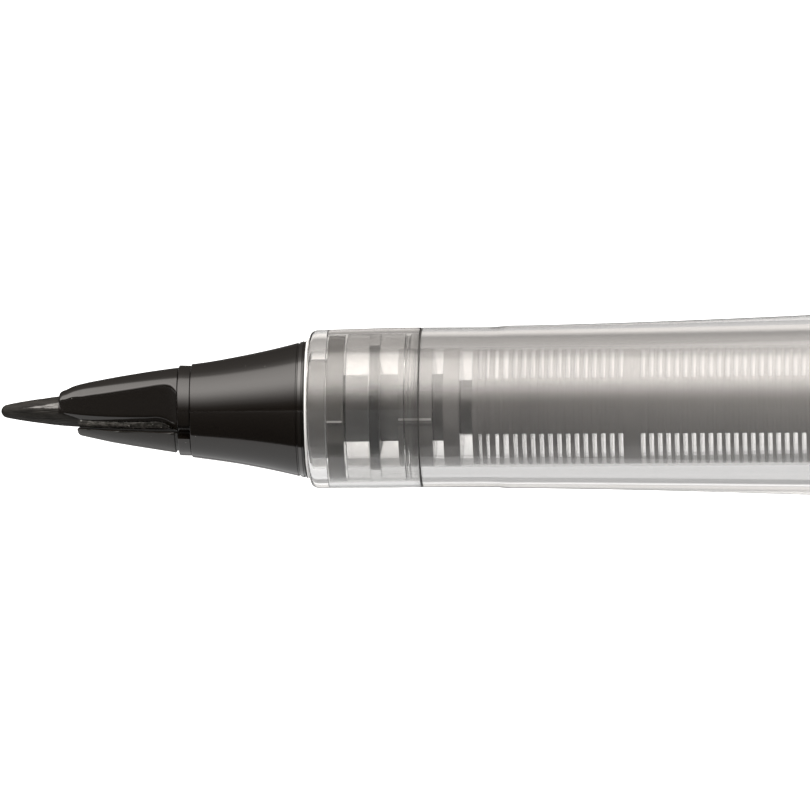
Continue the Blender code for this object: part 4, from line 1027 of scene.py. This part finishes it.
# The next two greys are a painted shadow: the pen's own shadow on the floor, seen through the clear pieces.
shadow_line_grey = glowing_card("shadow_line_grey", 0.06, 0.08, 0.48)
nose_grey = glowing_card("nose_grey", 0.06, 0.08, 0.36)
collar_shadow_grey = glowing_card("collar_shadow_grey", 0.06, 0.08, 0.30)
card_white = glowing_card("card_white", 0.19, 0.21, 1.08)
card_pale = glowing_card("card_pale", 0.08, 0.10, 0.60)
for name, low, high, material in (
        ("front_flag", (SHEET_LEFT, -SHEET_FAR), (SHEET_RIGHT, FRONT_EDGE), flag_black),
        ("side_flag", (SHEET_LEFT, FRONT_EDGE), (NOSE_EDGE, 0.15), flag_black),
        ("back_flag", (COLLAR_EDGE, BACK_EDGE), (SHEET_RIGHT, SHEET_FAR), flag_black),
        ("nose_flag", (NOSE_EDGE, BACK_EDGE), (COLLAR_EDGE, SHEET_FAR), nose_grey),
        ("front_shade", (SHEET_LEFT, -SHEET_FAR), (SHEET_RIGHT, FRONT_EDGE), flag_grey),
        # These two grey sheets just behind the grip and the collar are a painted shadow of the pen on the
        # floor.
        ("shadow_line_card", (GRIP_EDGE, 0.0022), (SHEET_RIGHT, 0.0075), shadow_line_grey),
        ("collar_shadow_card", (COLLAR_EDGE, 0.0026), (GRIP_EDGE, 0.0085), collar_shadow_grey),
        ("back_card", (SHEET_LEFT, BACKDROP_EDGE), (SHEET_RIGHT, BACKDROP_END), card_white),
        ("far_card", (SHEET_LEFT, BACKDROP_END), (SHEET_RIGHT, SHEET_FAR), card_pale)):
    flag = flat_sheet(name, low, high, FLOOR + SHEET_LIFT, material)
    flag.visible_camera = flag.visible_diffuse = flag.visible_shadow = False
    flag.visible_glossy = material in (flag_black, nose_grey)
    flag.visible_transmission = not flag.visible_glossy

STUDIO_TOP, CAMERA_WHITE = 6.0, 1.6
LIGHT_TINT = np.array((1, 0.955, 0.915))
LIGHT_RISE, LIGHT_RISE_END = 0.42, -0.32
END_FADE_START, END_FADE_STOP, END_LEVEL = 0.80, 0.97, 0.15
LIGHT_LEVELS = [(0, 0.05), (10, 0.3), (20, 1.1), (30, 2.5), (40, 4.2), (50, 5.3), (60, 5.4), (70, 4.9),
                (80, 4.3), (90, 3.4), (97, 1.1), (110, 0.45), (126, 0.25), (148, 0.10), (180, 0.12)]
ROOM_LEVELS = [(0, 0.45), (8, 0.38), (18, 0.0), (98, 0.0), (122, 0.31), (154, 0.32), (168, 1.0), (180, 1.0)]


def level_ramp(tree, share, levels, strength):
    """Background whose level goes through (degrees, level) stops, by the share of a half turn."""
    ramp = add_node(tree, "ShaderNodeValToRGB", {0: share})
    stops = ramp.color_ramp.elements
    for degrees, _ in levels[1:-1]:
        stops.new(degrees / 180)
    for stop, (degrees, level) in zip(stops, levels):
        stop.position = degrees / 180
        stop.color = (*(LIGHT_TINT * level / STUDIO_TOP), 1)
    values = {"Color": ramp.outputs["Color"], "Strength": strength}
    return add_node(tree, "ShaderNodeBackground", values).outputs[0]


def studio_world():
    """Studio round the pen, by the angle from the front over the top to the back.

    A long soft light fades in from low in front, is strongest at a third of the way up and ends just behind
    the zenith. Towards the nib's end it stands higher, and towards both ends of the pen it fades. What is
    seen through the clear pieces has a grey room in front, a lighter wall and a white backdrop behind. The
    camera itself sees plain white.
    """
    world = bpy.data.worlds.new("studio")
    bpy.context.scene.world = world
    world.use_nodes = True
    tree = world.node_tree
    way = axes_of(tree, add_node(tree, "ShaderNodeTexCoord").outputs["Generated"])
    angle = worked_out(tree, "ARCTAN2", way["Z"], worked_out(tree, "MULTIPLY", way["Y"], -1.0))
    rise = ramped(tree, way["X"], -1.0, LIGHT_RISE_END, LIGHT_RISE, 0.0)
    light_share = ramped(tree, worked_out(tree, "SUBTRACT", angle, rise), 0.0, np.pi)
    fade = ramped(tree, worked_out(tree, "ABSOLUTE", way["X"]), END_FADE_START, END_FADE_STOP,
                  STUDIO_TOP, END_LEVEL * STUDIO_TOP, interpolation_type="SMOOTHSTEP")
    path = add_node(tree, "ShaderNodeLightPath").outputs
    through = worked_out(tree, "MULTIPLY", path["Is Transmission Ray"], STUDIO_TOP)
    light = level_ramp(tree, light_share, LIGHT_LEVELS, fade)
    room = level_ramp(tree, ramped(tree, angle, 0.0, np.pi), ROOM_LEVELS, through)
    lit = add_node(tree, "ShaderNodeAddShader", {0: light, 1: room}).outputs[0]
    white = tree.nodes["Background"]
    white.inputs["Color"].default_value, white.inputs["Strength"].default_value = (1, 1, 1, 1), CAMERA_WHITE
    shown = add_node(tree, "ShaderNodeMixShader", {0: path["Is Camera Ray"], 1: lit, 2: white.outputs[0]})
    tree.links.new(shown.outputs[0], tree.nodes["World Output"].inputs["Surface"])


studio_world()

CAMERA_DISTANCE, CAMERA_REARWARD, CAMERA_HEIGHT = 1800, 104.4, np.radians(3.0)
AIM_STATION, AIM_HEIGHT = 25.3, 0.16
FIELD_WIDTH, SENSOR_WIDTH, CAMERA_ROLL = 50.62, 36.0, -0.00643


def photo_camera():
    """Long lens in front of the pen, a little above it and behind the collar, with a slight roll."""
    centre = np.array((AIM_STATION - PEN_LENGTH, 0, AIM_HEIGHT)) * MM
    away = np.array((0, -np.cos(CAMERA_HEIGHT), np.sin(CAMERA_HEIGHT)))
    place = centre + (CAMERA_DISTANCE * away + (CAMERA_REARWARD, 0, 0)) * MM
    ahead = centre - place
    distance = np.linalg.norm(ahead)
    ahead /= distance
    right = np.cross(ahead, (0, 0, 1))
    right /= np.linalg.norm(right)
    up = np.cross(right, ahead)
    roll = np.arctan2(up[0], right[0]) + CAMERA_ROLL
    right, up = np.cos(roll) * right + np.sin(roll) * up, np.cos(roll) * up - np.sin(roll) * right
    lens = bpy.data.cameras.new("photo_camera")
    lens.sensor_width = SENSOR_WIDTH
    lens.lens = SENSOR_WIDTH * distance / (FIELD_WIDTH * MM)
    lens.clip_start, lens.clip_end = 0.01, 50.0
    camera = bpy.data.objects.new("photo_camera", lens)
    matrix = np.eye(4)
    matrix[:3] = np.stack((right, up, -ahead, place), -1)
    camera.matrix_world = Matrix(matrix.tolist())
    bpy.context.scene.collection.objects.link(camera)
    bpy.context.scene.camera = camera


photo_camera()
scene = bpy.context.scene
scene.view_settings.view_transform = "Standard"
scene.cycles.max_bounces = 24
scene.cycles.transmission_bounces = 24

low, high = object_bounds()
